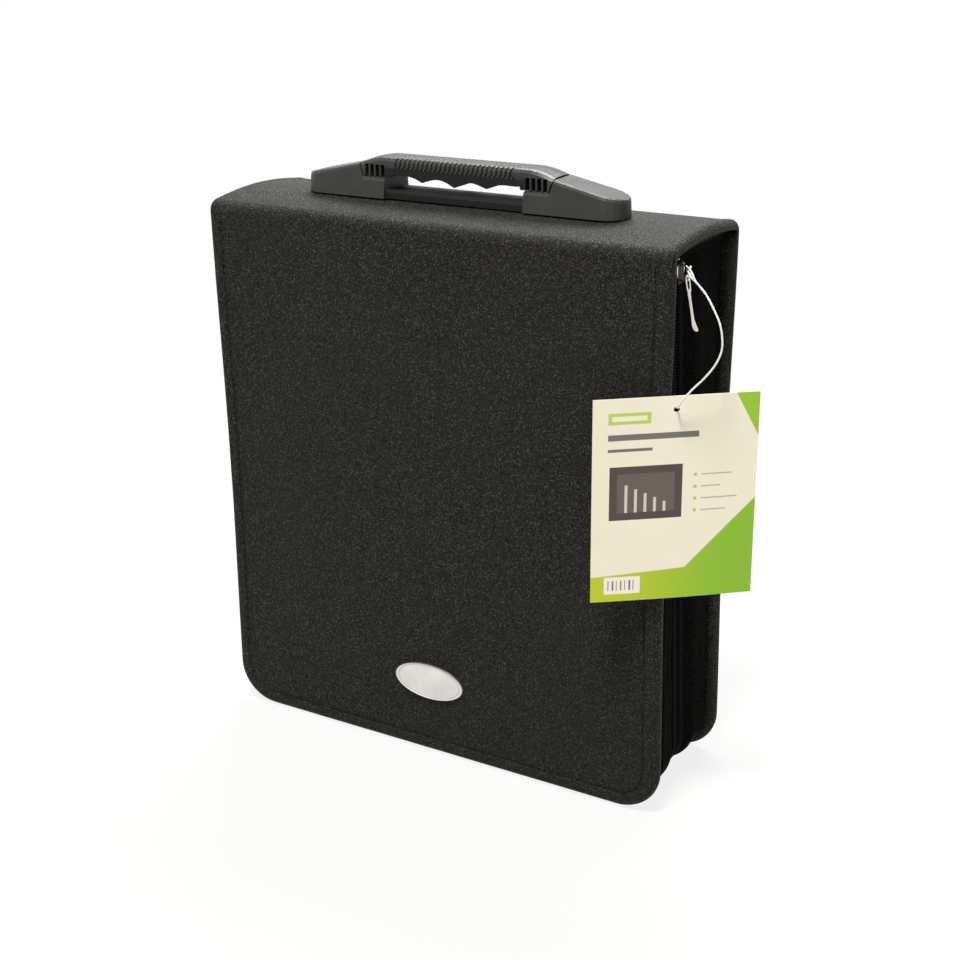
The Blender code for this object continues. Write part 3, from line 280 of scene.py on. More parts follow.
def woven(name, dark, light, thread=0.0006, roughness=0.85, shine=0.15):
    """Woven cloth: two sets of threads that pass over each other, with painted light on the raised crossings
    and painted shade between them.
    """
    f = Finish(name)
    a = f.x + f.y
    b = f.z + f.y * 0.35
    step = math.pi / thread
    warp = f.add("ShaderNodeMath", {"operation": "SINE"}, {0: a * step})
    weft = f.add("ShaderNodeMath", {"operation": "SINE"}, {0: b * step})
    over = f.smooth(warp * weft, -0.6, 0.6)
    fuzz = f.noise(2600.0, 2.0)
    worn = f.noise(28.0, 4.0)
    # painted light on the raised crossings and painted shade in the hollows between them, with random fuzz
    colour = f.mix(over * 0.7 + fuzz * 0.3, dark, light)
    colour = f.mix(f.smooth(worn, 0.4, 0.75) * 0.3, colour, light)
    height = over + fuzz * 0.4
    rough = roughness - 0.1 * over
    normal = f.bump(height, thread * 0.25, 0.7)
    return f.set(Base_Color=colour, Roughness=rough, Normal=normal, Specular_IOR_Level=shine)


def moulded(name, dark, light, roughness=0.4, grain=0.00035, shine=0.25, painted_shade_half=None, painted_shade_below=None):
    """Satin moulded plastic with rubbed edges, and, when given, painted shade that makes it darker and rougher
    on the bar in its middle, which the grip shades, and on its lower part under the grip's ribbed top.
    """
    f = Finish(name)
    fine = f.noise(1 / grain, 2.0, 0.7)
    broad = f.noise(45.0, 4.0, 0.6)
    scuff = f.noise(24.0, 5.0, 0.7, place=f.stretched((1.0, 6.0, 9.0)))
    edge = f.add("ShaderNodeNewGeometry", {}, {}, "Pointiness")
    rub = f.smooth(edge, 0.52, 0.62)
    colour = f.mix(f.smooth(broad, 0.3, 0.75), dark, light)
    colour = f.mix(rub * 0.5, colour, tuple(min(1.0, 1.9 * c) for c in light))
    rough = roughness + 0.14 * (fine - 0.5) + 0.12 * f.smooth(scuff, 0.5, 0.8) - 0.06 * rub
    if painted_shade_half:
        # painted shade: the bar in the middle of the base, which lies in the grip's shadow, is painted near
        # black and made rougher
        middle = f.smooth(abs(f.x), painted_shade_half + 0.0004, painted_shade_half - 0.0004)
        colour = f.mix(middle, colour, tuple(0.12 * c for c in dark))
        rough = rough + 0.3 * middle
    if painted_shade_below:
        # painted shade: the grip's lower body, under the overhang of its ribbed top, is painted darker and made
        # rougher
        under = f.smooth(f.z, painted_shade_below + 0.0006, painted_shade_below - 0.0006) * f.smooth(abs(f.x), 0.0455, 0.0445)
        colour = f.mix(under, colour, tuple(0.25 * c for c in dark))
        rough = rough + 0.2 * under
    normal = f.bump(fine + broad * 0.3, 0.00006, 0.8)
    return f.set(Base_Color=colour, Roughness=rough, Normal=normal, Specular_IOR_Level=shine)


def metal(name, colour, tarnish, roughness=0.25, brush=(900.0, 60.0, 900.0), dark_face=None):
    """Plated metal with fine scratches and a little tarnish, dark between the rims of the slider's face."""
    f = Finish(name)
    lines = f.noise(1.0, 3.0, 0.6, place=f.stretched(brush))
    spots = f.noise(320.0, 4.0, 0.65)
    tint = f.mix(f.smooth(spots, 0.5, 0.8) * 0.7, colour, tarnish)
    rough = roughness + 0.12 * lines + 0.18 * f.smooth(spots, 0.55, 0.85)
    if dark_face:
        off_line = abs(f.y - (zip_y(SLIDER_Z) - (f.z - SLIDER_Z) * ZIP_SLOPE))
        face = f.smooth(f.x, dark_face + 0.0001, dark_face - 0.0001) * f.smooth(off_line, 0.0038, 0.0035)
        tint = f.mix(face, tint, (0.03, 0.03, 0.03))
        rough = rough + 0.3 * face
    normal = f.bump(lines + spots * 0.6, 0.00003, 0.7)
    return f.set(Base_Color=tint, Metallic=1.0, Roughness=rough, Normal=normal)


def enamel_plate(centre, half_x, half_z):
    """White enamel inside a thin dark rim."""
    f = Finish("badge enamel")
    u = (f.x - centre[0]) / half_x
    v = (f.z - centre[1]) / half_z
    radius = (u * u + v * v) ** 0.5
    rim = f.smooth(radius, 0.955, 0.985)
    cloud = f.noise(70.0, 4.0)
    face = f.mix(f.smooth(cloud, 0.35, 0.7), (0.80, 0.80, 0.79), (0.70, 0.70, 0.70))
    inner = f.smooth(abs(radius - 0.89), 0.03, 0.012)
    face = f.mix(inner * 0.45, face, (0.30, 0.30, 0.30))
    colour = f.mix(rim, face, (0.05, 0.05, 0.05))
    ripple = f.noise(900.0, 2.0)
    normal = f.bump(ripple, 0.00003, 0.5)
    return f.set(Base_Color=colour, Roughness=0.2 + 0.1 * cloud, Normal=normal, Coat_Weight=0.4)


def printed_card(centre_u):
    """The ticket: cream card with straight green fields, plain bars, lines and blocks."""
    f = Finish("printed ticket card")
    u = (f.x * math.cos(TICKET_ANGLE) + f.y * math.sin(TICKET_ANGLE) - centre_u) * 1000
    v = (f.z - (TICKET_TOP - TICKET_HEIGHT / 2)) * 1000
    fibre = f.noise(2200.0, 3.0)
    mottle = f.noise(60.0, 4.0)
    grey = (0.16, 0.15, 0.13)
    cream = f.mix(f.smooth(mottle, 0.3, 0.7) * 0.5, (0.88, 0.84, 0.69), (0.84, 0.80, 0.64))
    lime = f.mix(f.smooth(u, -42, 34), (0.52, 0.58, 0.014), (0.24, 0.50, 0.014))
    lime = f.mix(f.smooth(v, 0, 50) * 0.5, lime, (0.36, 0.60, 0.03))

    def bar(u0, u1, v0, v1):
        middle_u, half_u = (u0 + u1) / 2, (u1 - u0) / 2
        middle_v, half_v = (v0 + v1) / 2, (v1 - v0) / 2
        return (abs(u - middle_u) < half_u) * (abs(v - middle_v) < half_v)

    band = f.smooth(v - u * 0.06, -38.2, -38.8)
    wedge = f.smooth(v - u * 1.0, -44.0, -45.0)
    corner = f.smooth(v + u * 1.9, 113.0, 114.2)
    colour = f.mix(band, cream, lime)
    colour = f.mix(wedge, colour, lime)
    colour = f.mix(corner, colour, lime)
    for u0, u1, v0, v1 in ((-35, 12, 33.0, 36.2), (-35, -12, 27.0, 28.6)):
        colour = f.mix(bar(u0, u1, v0, v1), colour, grey)
    colour = f.mix(bar(-35, -13, 41.5, 47.5), colour, (0.50, 0.62, 0.12))
    colour = f.mix(bar(-33, -15, 43.2, 45.8), colour, (0.86, 0.85, 0.66))
    colour = f.mix(bar(-34, 4, -10, 19), colour, (0.060, 0.049, 0.038))
    colour = f.mix(bar(-30, 0, -6, 15), colour, (0.115, 0.096, 0.077))
    for i in range(5):
        colour = f.mix(bar(-26 + 5 * i, -24.5 + 5 * i, -6, 9 - 2.4 * i), colour, (0.62, 0.60, 0.55))
    for i, long in enumerate((30, 24, 33, 27)):
        low = 12 - 6.5 * i
        colour = f.mix(bar(10, 11.6, low, low + 1.6), colour, (0.45, 0.55, 0.08))
        colour = f.mix(bar(14, long, low + 0.4, low + 1.1), colour, (0.46, 0.44, 0.38))
    colour = f.mix(bar(-36, -17, -51.0, -41.5), colour, (0.88, 0.86, 0.78))
    for i in range(7):
        wide = (0.5, 0.9, 0.4, 0.7, 0.4, 1.0, 0.5)[i]
        colour = f.mix(bar(-34 + 2.2 * i, -34 + 2.2 * i + wide, -49, -43.5), colour, grey)
    height = fibre + mottle * 0.4
    return f.set(Base_Color=colour, Roughness=0.42 + 0.12 * fibre, Normal=f.bump(height, 0.00004, 0.6))


def twisted_string():
    """White string of two twisted strands, with painted shade in the grooves between them."""
    f = Finish("twisted white string")
    run = (f.x + f.z * 1.3 + f.y * 0.7) * 4200.0
    lay = f.add("ShaderNodeMath", {"operation": "SINE"}, {0: run})
    fuzz = f.noise(3000.0, 3.0)
    soil = f.noise(40.0, 3.0)
    colour = f.mix(f.smooth(soil, 0.45, 0.75) * 0.4, (0.86, 0.86, 0.85), (0.66, 0.65, 0.62))
    # painted shade: the grooves between the two strands are painted grey
    colour = f.mix(f.smooth(lay, 0.2, -0.9) * 0.4, colour, (0.42, 0.42, 0.42))
    normal = f.bump(lay + fuzz * 0.5, 0.0001, 0.8)
    return f.set(Base_Color=colour, Roughness=0.5 + 0.2 * fuzz, Normal=normal)


def sleeve_film():
    """White felt behind clear film, with welded lines round the pockets."""
    f = Finish("sleeve film")
    felt = f.noise(900.0, 4.0, 0.7)
    haze = f.noise(25.0, 3.0)
    weld_x = f.smooth(abs(f.x), 0.0022, 0.0012)
    weld_z = f.smooth(abs(f.z - SLEEVE_WELD), 0.0016, 0.0008)
    side = f.smooth(abs(abs(f.x) - 0.1275), 0.0016, 0.0008)
    lines = weld_x + weld_z + side
    colour = f.mix(f.smooth(felt, 0.3, 0.7), (0.74, 0.75, 0.76), (0.82, 0.83, 0.84))
    colour = f.mix(f.clamp(lines) * 0.5, colour, (0.50, 0.51, 0.53))
    rough = 0.22 + 0.15 * haze + 0.3 * f.clamp(lines)
    normal = f.bump(felt * 0.4 - lines, 0.0002, 0.6)
    return f.set(Base_Color=colour, Roughness=rough, Normal=normal, Coat_Weight=0.3)


def pale_floor():
    """A pale floor, seen as white and whiter still far away, that keeps the object's shadow."""
    f = Finish("pale floor")
    f.set(Base_Color=(0.62, 0.60, 0.56), Roughness=0.9)
    path = f.add("ShaderNodeLightPath", {}, {}, None)
    rays = [Link(f, path.outputs[kind]) for kind in SEEING_RAYS]
    others = f.add("ShaderNodeMath", {"operation": "MAXIMUM"}, {0: rays[1], 1: rays[2]})
    seen = f.add("ShaderNodeMath", {"operation": "MAXIMUM"}, {0: rays[0], 1: others})
    away = (f.x * f.x + f.y * f.y) ** 0.5
    glow = f.add("ShaderNodeEmission", {}, {"Color": (1.0, 1.0, 1.0), "Strength": 1.0})
    share = seen * (FLOOR_GLOW + (1 - FLOOR_GLOW) * f.smooth(away, 0.25, 1.1))
    blend = f.add("ShaderNodeMixShader", {}, {0: share, 1: Link(f, f.shader.outputs[0]), 2: glow})
    f.links.new(blend.socket, f.nodes["Material Output"].inputs["Surface"])
    return f.material


def add_object(name, bm, finish, body=None, node=None, smooth=math.radians(40)):
    """A named piece from a bmesh, dressed, riding on its body and standing for its nodes."""
    bmesh.ops.recalc_face_normals(bm, faces=bm.faces)
    mesh = bpy.data.meshes.new(name)
    bm.to_mesh(mesh)
    bm.free()
    mesh.materials.append(finish)
    mesh.shade_smooth()
    mesh.set_sharp_from_angle(angle=smooth)
    piece = bpy.data.objects.new(name, mesh)
    bpy.context.collection.objects.link(piece)
    if body:
        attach(piece, body)
    if node:
        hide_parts(*([node] if isinstance(node, str) else node))
    return piece


def loft(bm, rings, close_ends=True):
    """Join rings of equal length into a tube."""
    rows = [[bm.verts.new(point) for point in ring] for ring in rings]
    count = len(rows[0])
    for lower, upper in zip(rows, rows[1:]):
        for i in range(count):
            j = (i + 1) % count
            bm.faces.new((lower[i], lower[j], upper[j], upper[i]))
    if close_ends:
        bm.faces.new(rows[0])
        bm.faces.new(rows[-1])
    return rows


def ripple(x, y, z, scale, seed=0.0):
    """Smooth unevenness between about -1 and 1."""
    return noise.noise(Vector((x * scale + seed, y * scale - seed, z * scale + 2.3 * seed)))


def u_path(half, bottom, radius, top, side_steps=60, arc_steps=12, base_steps=40):
    """Points and inward normals from the left top round the bottom to the right top."""
    radius = max(radius, 0.0002)
    low = bottom + radius
    left = [((-half, top + (low - top) * i / side_steps), (1.0, 0.0)) for i in range(side_steps)]
    for i in range(arc_steps + 1):
        turn = math.pi / 2 * i / arc_steps
        normal = (math.cos(turn), math.sin(turn))
        left.append(((-half + radius - radius * normal[0], low - radius * normal[1]), normal))
    right = [((-x, z), (-nx, nz)) for (x, z), (nx, nz) in reversed(left)]
    reach = half - radius
    middle = [((-reach + 2 * reach * i / base_steps, bottom), (0.0, 1.0)) for i in range(1, base_steps)]
    return left + middle + right


def zip_y(z):
    """The zip's centre line."""
    return min(ZIP_TOP_Y + (SLIDER_Z - z) * ZIP_SLOPE, ZIP_BOTTOM_Y)


def waisted(x, z):
    """The covers are a little narrower at mid height."""
    return x * (1 - 2 * WAIST / LENGTH * math.sin(math.pi * max(0.0, min(z, HEIGHT)) / HEIGHT) ** 2)


def fold_path(side):
    """From the seam on the spine over the rounded fold: (y, z, outward normal, share of the fold)."""
    flat = DEPTH / 2 - FOLD_RADIUS
    places = []
    crown = [SEAM_Y + (flat - SEAM_Y) * i / 2 for i in range(2)]
    for y in crown:
        slope = -2 * CROWN * y / flat ** 2
        normal = Vector((0, -slope, 1)).normalized()
        places.append((y, HEIGHT + CROWN * (1 - (y / flat) ** 2), normal, 1.0))
    for i in range(9):
        turn = math.pi / 2 * (1 - i / 8)
        y = flat + FOLD_RADIUS * math.cos(turn)
        z = HEIGHT - FOLD_RADIUS + FOLD_RADIUS * math.sin(turn)
        places.append((y, z, Vector((0, math.cos(turn), math.sin(turn))), 1.0))
    places.append((DEPTH / 2, FOLD_Z - 0.0005, Vector((0, 1, 0)), 0.75))
    places.append((DEPTH / 2, FOLD_Z - 0.003, Vector((0, 1, 0)), 0.25))
    return [(side * y, z, Vector((0, side * n.y, n.z)), share) for y, z, n, share in places]


def cover_section():
    """(inset, height above the bead's crest on the cover, the same on the fold) from panel to panel."""
    section = []
    for inset in (0.145, 0.125, 0.105, 0.085, 0.065, 0.048, 0.034, 0.024, 0.017, 0.0125):
        section.append((inset, -FACE_RECESS, -FACE_RECESS))
    section.append((PANEL_EDGE + 0.0006, -FACE_RECESS - 0.0001, -FACE_RECESS))
    section.append((PANEL_EDGE, -FACE_RECESS - 0.0002, -FACE_RECESS))
    section.append((PANEL_EDGE - 0.0004, -GROOVE_DEPTH, -0.00035))
    section.append((BEAD + 0.0004, -GROOVE_DEPTH, -0.0003))
    section.append((BEAD, -0.0004, -0.00025))
    section.append((BEAD - 0.0010, -0.0001, -0.0001))
    for i in range(0, 13):
        turn = math.pi / 12 * i
        inset = EDGE_ROUND * (1 - math.sin(turn))
        drop = EDGE_ROUND * (1 - math.cos(turn))
        section.append((inset, -drop, -min(drop, END_DEPTH)))
    section.append((BEAD, -2 * EDGE_ROUND + 0.0006, -END_DEPTH + 0.0005))
    section.append((PANEL_EDGE, -COVER_BOARD, -FOLD_SKIN - 0.001))
    for inset in (0.024, 0.048, 0.085, 0.145):
        section.append((inset, -COVER_BOARD, -FOLD_SKIN))
    return section


def make_cover_skin(name, side, finish):
    """One sheet of leatherette over the cover and up round the fold to the seam on the spine."""
    bm = bmesh.new()
    top = FOLD_Z - 0.006
    rows = []
    for inset, cover_height, fold_height in cover_section():
        row = []
        path = u_path(LENGTH / 2 - inset, inset, CORNER - inset, top)
        end_x = LENGTH / 2 - inset
        for y, z, normal, share in fold_path(side):
            height = cover_height + (fold_height - cover_height) * share
            row.append(Vector((waisted(-end_x, z), y, z)) + normal * height)
        for (x, z), _ in path:
            height = cover_height
            if cover_height > OUTER_FACE:
                depth = max(0.0, min(1.0, (inset - PANEL_EDGE) / PILLOW_REACH))
                pillow = math.sin(math.pi / 2 * depth)
                rise = math.sin(math.pi * max(0.0, min(1.0, z / HEIGHT)))
                height += pillow * (0.0007 * rise + 0.00035 * ripple(x, side, z, 11.0, 3.0 + side))
            height += 0.00012 * ripple(x, side * 0.04, z, 55.0, 7.0)
            row.append(Vector((waisted(x, z), side * (DEPTH / 2 + height), z)))
        for y, z, normal, share in reversed(fold_path(side)):
            height = cover_height + (fold_height - cover_height) * share
            row.append(Vector((waisted(end_x, z), y, z)) + normal * height)
        rows.append([bm.verts.new(point) for point in row])
    for near, far in zip(rows, rows[1:]):
        for i in range(len(near) - 1):
            bm.faces.new((near[i], near[i + 1], far[i + 1], far[i]))
    for row in (rows[0], rows[-1]):
        middle = len(row) // 2
        for i in range(middle - 1):
            j = len(row) - 1 - i
            bm.faces.new((row[i], row[i + 1], row[j - 1], row[j]))
    count = len(rows[0])
    bm.faces.new([row[0] for row in rows] + [row[count - 1] for row in reversed(rows)])
    bmesh.ops.remove_doubles(bm, verts=bm.verts, dist=MERGE)
    return add_object(name, bm, finish, node=name.replace("_skin", "_cover"))


def make_spine_skin(finish):
    """The crowned top between the two seams, with its rolled ends."""
    bm = bmesh.new()
    flat = DEPTH / 2 - FOLD_RADIUS
    section = cover_section()
    outer = section[:28]
    rings = []
    ys = [SEAM_Y * (2 * i / 24 - 1) for i in range(25)]
    stations = []
    for inset, _, height in reversed(outer):
        stations.append((-(LENGTH / 2 - inset), height))
    for inset, _, height in outer:
        stations.append((LENGTH / 2 - inset, height))
    for x, height in stations:
        ring = []
        for y in ys:
            crown = HEIGHT + CROWN * (1 - (y / flat) ** 2)
            slope = -2 * CROWN * y / flat ** 2
            normal = Vector((0, -slope, 1)).normalized()
            swell = 0.0
            if height > OUTER_FACE:
                swell = 0.0003 * ripple(x, y, 0, 14.0, 5.0)
            ring.append(Vector((x, y, crown)) + normal * (height + swell))
        low = FOLD_Z + 0.003
        reach = abs(x)
        if reach > LENGTH / 2 - 0.009:
            low = FOLD_Z + 0.0012
        under = [(SEAM_Y, HEIGHT - 0.0022), (DEPTH / 2 - 0.0045, HEIGHT - 0.0032),
                 (DEPTH / 2 - 0.0024, low + 0.0006), (DEPTH / 2 - 0.0055, low)]
        for y, z in under + [(-y, z) for y, z in reversed(under)]:
            ring.append(Vector((x * 0.9965, y, min(z, HEIGHT + height * 0.9))))
        rings.append(ring)
    loft(bm, rings)
    bmesh.ops.remove_doubles(bm, verts=bm.verts, dist=MERGE)
    return add_object("spine_skin", bm, finish, "spine", "spine_panel")


def stitches(name, path, out, finish, body, length=0.0030, pitch=0.0042, thick=0.00055):
    """Thread stitches that lie along a path of points."""
    bm = bmesh.new()
    run = 0.0
    for start, end in zip(path, path[1:]):
        span = (end - start).length
        while run < span:
            centre = start.lerp(end, run / span)
            along = (end - start).normalized()
            across = along.cross(out).normalized()
            rings = []
            for share, size, lift in STITCH_FORM:
                middle = centre + along * (share * length) + out * (lift * thick)
                turns = [2 * math.pi * k / 6 for k in range(6)]
                around = [math.cos(t) * across + math.sin(t) * out for t in turns]
                rings.append([middle + size * thick / 2 * way for way in around])
            loft(bm, rings)
            run += pitch
        run -= span
    return add_object(name, bm, finish, body)


def cover_seam_path(side, inset=BEAD + GROOVE / 2, drop=GROOVE_DEPTH - 0.00025):
    """The line of the stitches in a cover's groove."""
    path = u_path(LENGTH / 2 - inset, inset, CORNER - inset, FOLD_Z - 0.004, 40, 16, 30)
    return [Vector((waisted(x, z), side * (DEPTH / 2 - drop), z)) for (x, z), _ in path]


def make_gusset_cloth(name, side, finish, body):
    """Soft gusset half that bulges between the cover's edge and the zip tape."""
    bm = bmesh.new()
    path = u_path(GUSSET_HALF, GUSSET_BOTTOM, CORNER - GUSSET_BOTTOM, FOLD_Z - 0.0008, 70, 16, 50)
    cover_y = side * (DEPTH / 2 - GUSSET_SEWN)
    across = 14
    outer_rows, inner_rows = [], []
    total = len(path)
    for k, ((x, z), (nx, nz)) in enumerate(path):
        seam = zip_y(z) + side * TAPE_INNER
        outer_row, inner_row = [], []
        width = abs(cover_y - seam)
        for i in range(across + 1):
            share = i / across
            y = cover_y + (seam - cover_y) * share
            free = max(0.0, 1 - TAPE_WIDTH / max(width, 0.006))
            place = min(1.0, share / max(free, 0.05))
            bulge = math.sin(math.pi * place) ** 0.8 if place < 1 else 0.0
            ends = min(1.0, max(0.0, (FOLD_Z - z) / 0.02))
            size = min(0.0032, 0.11 * width) * (0.35 + 0.65 * ends)
            wave = ripple(x, y, z, 42.0, 11.0 + side) * 0.0011 + ripple(x, y, z, 16.0, 4.0) * 0.0010
            fold = math.sin(place * math.pi * 3 + 2.2 * ripple(x, y, z, 9.0, 1.0)) * 0.0006
            lift = bulge * (size + (wave + fold) * min(1.0, width / 0.02))
            base = Vector((x - nx * lift, y, z - nz * lift))
            outer_row.append(bm.verts.new(base))
            inner_row.append(bm.verts.new(base + Vector((nx, 0, nz)) * GUSSET_SKIN))
        outer_rows.append(outer_row)
        inner_rows.append(inner_row)
    for rows in (outer_rows, inner_rows):
        for a, b in zip(rows, rows[1:]):
            for i in range(across):
                bm.faces.new((a[i], a[i + 1], b[i + 1], b[i]))
    for i in (0, across):
        for k in range(total - 1):
            bm.faces.new((outer_rows[k][i], outer_rows[k + 1][i], inner_rows[k + 1][i], inner_rows[k][i]))
    for k in (0, total - 1):
        for i in range(across):
            bm.faces.new((outer_rows[k][i], outer_rows[k][i + 1], inner_rows[k][i + 1], inner_rows[k][i]))
    return add_object(name + "_gusset_cloth", bm, finish, body, name + "_gusset", math.radians(60))


def make_teeth(name, side, finish, body):
    """Moulded coil teeth that leave the slider's wedge free between the two sides."""
    bm = bmesh.new()
    pitch = TEETH_PITCH
    path = u_path(GUSSET_HALF, GUSSET_BOTTOM, CORNER - GUSSET_BOTTOM, FOLD_Z - 0.0027, 60, 24, 50)
    run = pitch * (0.25 if side < 0 else 0.75)
    for ((x0, z0), n0), ((x1, z1), n1) in zip(path, path[1:]):
        a, b = Vector((x0, 0, z0)), Vector((x1, 0, z1))
        span = (b - a).length
        while run < span:
            share = run / span
            centre = a.lerp(b, share)
            inward = Vector((n0[0], 0, n0[1])).lerp(Vector((n1[0], 0, n1[1])), share).normalized()
            along = (b - a).normalized()
            middle = zip_y(centre.z)
            tip = middle + side * TEETH_TIP
            root = middle + side * TEETH_ROOT
            rings = []
            for reach, size, high, low in TOOTH_FORM:
                y = root + (tip - root) * reach
                half = size * pitch * 0.5
                ring = []
                for s, h in ((-1, low), (-1, high * 0.6), (-0.5, high), (0.5, high), (1, high * 0.6), (1, low)):
                    ring.append(centre + along * (s * half) + inward * h + Vector((0, y, 0)))
                rings.append(ring)
            loft(bm, rings)
            run += pitch
        run -= span
    return add_object(name + "_zip_teeth", bm, finish, body, name + "_zip_coil", math.radians(45))


def slider_place():
    """From the slider's own axes (out, across, up the zip) to the case."""
    turn = Matrix.Rotation(ZIP_TILT, 4, "X")
    return Matrix.Translation((GUSSET_HALF, zip_y(SLIDER_Z), SLIDER_Z)) @ turn


def bevelled(piece, width):
    """Round a piece's hard edges."""
    step = piece.modifiers.new("rounded edges", "BEVEL")
    step.width = width
    step.segments = 2
    step.limit_method = "ANGLE"
    step.angle_limit = SHARP_METAL


def make_slider(finish):
    """Cast slider: two plates with side flanges, the wedge between them and an arched bridge."""
    bm = bmesh.new()
    half, top = 0.0045, 0.0055
    right = [(0.55, -1.0), (0.72, -0.82), (0.80, -0.30), (1.0, 0.15), (1.0, 0.60), (0.80, 0.86), (0.45, 1.0),
             (0.12, 0.86)]
    outline = [(-0.55, -1.0)] + right + [(-a, b) for a, b in reversed(right[1:])]
    plates = ((0.0016, PLATE_FACE), (-0.0032, -0.0020))
    for low, high in plates:
        loft(bm, [[(x, half * a, top * b) for a, b in outline] for x in (low, high)])
    for side in (-1, 1):
        ys = sorted((side * 0.0037, side * 0.0045))
        loft(bm, [[(x, y, z) for y, z in ((ys[0], -0.001), (ys[1], -0.001), (ys[1], 0.0034), (ys[0], 0.0034))]
                  for x in (0.0008, 0.0017)])
    wedge = ((-0.0004, -0.0030), (0.0004, -0.0030), (0.0004, 0.0048), (-0.0004, 0.0048))
    loft(bm, [[(x, y, z) for y, z in wedge] for x in (-0.0021, 0.0017)])
    arch = []
    steps = 14
    for i in range(steps + 1):
        turn = math.pi * i / steps
        arch.append(Vector((0.0026 + BRIDGE_RISE * math.sin(turn) ** 0.7, 0, 0.0041 * -math.cos(turn))))
    rings = []
    for i, point in enumerate(arch):
        before, after = arch[max(i - 1, 0)], arch[min(i + 1, steps)]
        along = (after - before).normalized()
        out = Vector((0, 1, 0)).cross(along).normalized()
        wide = 0.0008 if 0 < i < steps else 0.0013
        ring = []
        for k in range(8):
            turn = 2 * math.pi * (k + 0.5) / 8
            ring.append(point + Vector((0, wide * math.cos(turn), 0)) + out * (0.00055 * math.sin(turn)))
        rings.append(ring)
    loft(bm, rings)
    bm.transform(slider_place())
    piece = add_object("zip_slider_body", bm, finish, "zip_slider", "zip_slider", SHARP_METAL)
    bevelled(piece, 0.00018)


def pull_pivot():
    """The point about which the pull swings."""
    return slider_place() @ Vector((PLATE_FACE + PIVOT_RISE, 0, PIVOT_LIFT))


def make_pull(finish):
    """Flat stamped pull: two thin legs round an eye, a narrow stem and a wider hooked end."""
    eye = [(0.0008, 0.0011, -0.0010, 0.0006), (0.0004, 0.0021, -0.0012, 0.0009),
           (-0.0012, 0.0025, -0.0020, 0.0012), (-0.0040, 0.0025, -0.0040, 0.0013),
           (-0.0066, 0.0022, -0.0060, 0.0011), (-0.0084, 0.0017, -0.0069, 0.0006)]
    stem = [(-0.0076, 0.0017, 0.0), (-0.0100, 0.0011, 0.0), (-0.0135, 0.0010, 0.0), (-0.0190, 0.0010, 0.0),
            (-0.0225, 0.0012, 0.0), (-0.0248, 0.0019, 0.0002), (-0.0266, 0.0021, 0.0006),
            (-0.0278, 0.0018, 0.0011), (-0.0285, 0.0011, 0.0015)]
    thick = 0.00045
    bm = bmesh.new()
    half_band = [((wide, z), (narrow, low)) for z, wide, low, narrow in eye]
    band = half_band + [((-a[0], a[1]), (-b[0], b[1])) for a, b in reversed(half_band)]
    rows = []
    for (oy, oz), (iy, iz) in band:
        corners = ((-thick, oy, oz), (thick, oy, oz), (thick, iy, iz), (-thick, iy, iz))
        rows.append([bm.verts.new(corner) for corner in corners])
    for k in range(len(rows)):
        a, b = rows[k], rows[(k + 1) % len(rows)]
        for i in range(4):
            j = (i + 1) % 4
            bm.faces.new((a[i], a[j], b[j], b[i]))
    rings = []
    for z, wide, lift in stem:
        rings.append([(lift - thick, -wide, z), (lift + thick, -wide * 0.8, z), (lift + thick, wide * 0.8, z),
                      (lift - thick, wide, z)])
    loft(bm, rings)
    turn = Matrix.Rotation(ZIP_TILT, 4, "X") @ Matrix.Rotation(-PULL_TILT, 4, "Y")
    bm.transform(Matrix.Translation(pull_pivot()) @ turn)
    piece = add_object("zip_pull_tab", bm, finish, "zip_pull", "zip_pull", SHARP_METAL)
    bevelled(piece, 0.00022)


STRING_ROUTE = [
    (0.1460, -0.0257, 0.3043),
    (0.1476, -0.0266, 0.3032),
    (0.1490, -0.0277, 0.3014),
    (0.1502, -0.0280, 0.2995),
    (0.1530, -0.0288, 0.2973),
    (0.1572, -0.0306, 0.2942),
    (0.1624, -0.0338, 0.2891),
    (0.1668, -0.0350, 0.2818),
    (0.1690, -0.0362, 0.2745),
    (0.1692, -0.0373, 0.2682),
    (0.1667, -0.0387, 0.2614),
    (0.1621, -0.0402, 0.2547),
    (0.1577, -0.0417, 0.2497),
    (0.1548, -0.0428, 0.2462),
    (0.1523, -0.0434, 0.2428),
    (0.1506, -0.0433, 0.2398),
    (0.1496, -0.0421, 0.2381),
    (0.1481, -0.0403, 0.2375),
    (0.1469, -0.0388, 0.2374),
]
LOOP_ROUTE = [
    (0.1460, -0.0257, 0.3043),
    (0.1459, -0.0243, 0.3055),
    (0.1449, -0.0228, 0.3050),
    (0.1440, -0.0238, 0.3038),
    (0.1453, -0.0256, 0.3030),
    (0.1475, -0.0270, 0.3008),
    (0.1496, -0.0276, 0.2994),
]


def smooth_route(points, count):
    """Even points along a smooth curve through the route's own points."""
    route = [Vector(p) for p in points]
    ends = [2 * route[0] - route[1]] + route + [2 * route[-1] - route[-2]]
    fine = []
    for a, b, c, d in zip(ends, ends[1:], ends[2:], ends[3:]):
        for i in range(16):
            t = i / 16
            bend = (2 * a - 5 * b + 4 * c - d) * t * t
            fine.append((2 * b + (c - a) * t + bend + (3 * b - a - 3 * c + d) * t ** 3) / 2)
    fine.append(route[-1])
    lengths = [0.0]
    for p, q in zip(fine, fine[1:]):
        lengths.append(lengths[-1] + (q - p).length)
    even = []
    k = 0
    for i in range(count):
        wanted = lengths[-1] * i / (count - 1)
        while k < len(fine) - 2 and lengths[k + 1] < wanted:
            k += 1
        even.append(fine[k].lerp(fine[k + 1], (wanted - lengths[k]) / (lengths[k + 1] - lengths[k])))
    return even, lengths[-1]


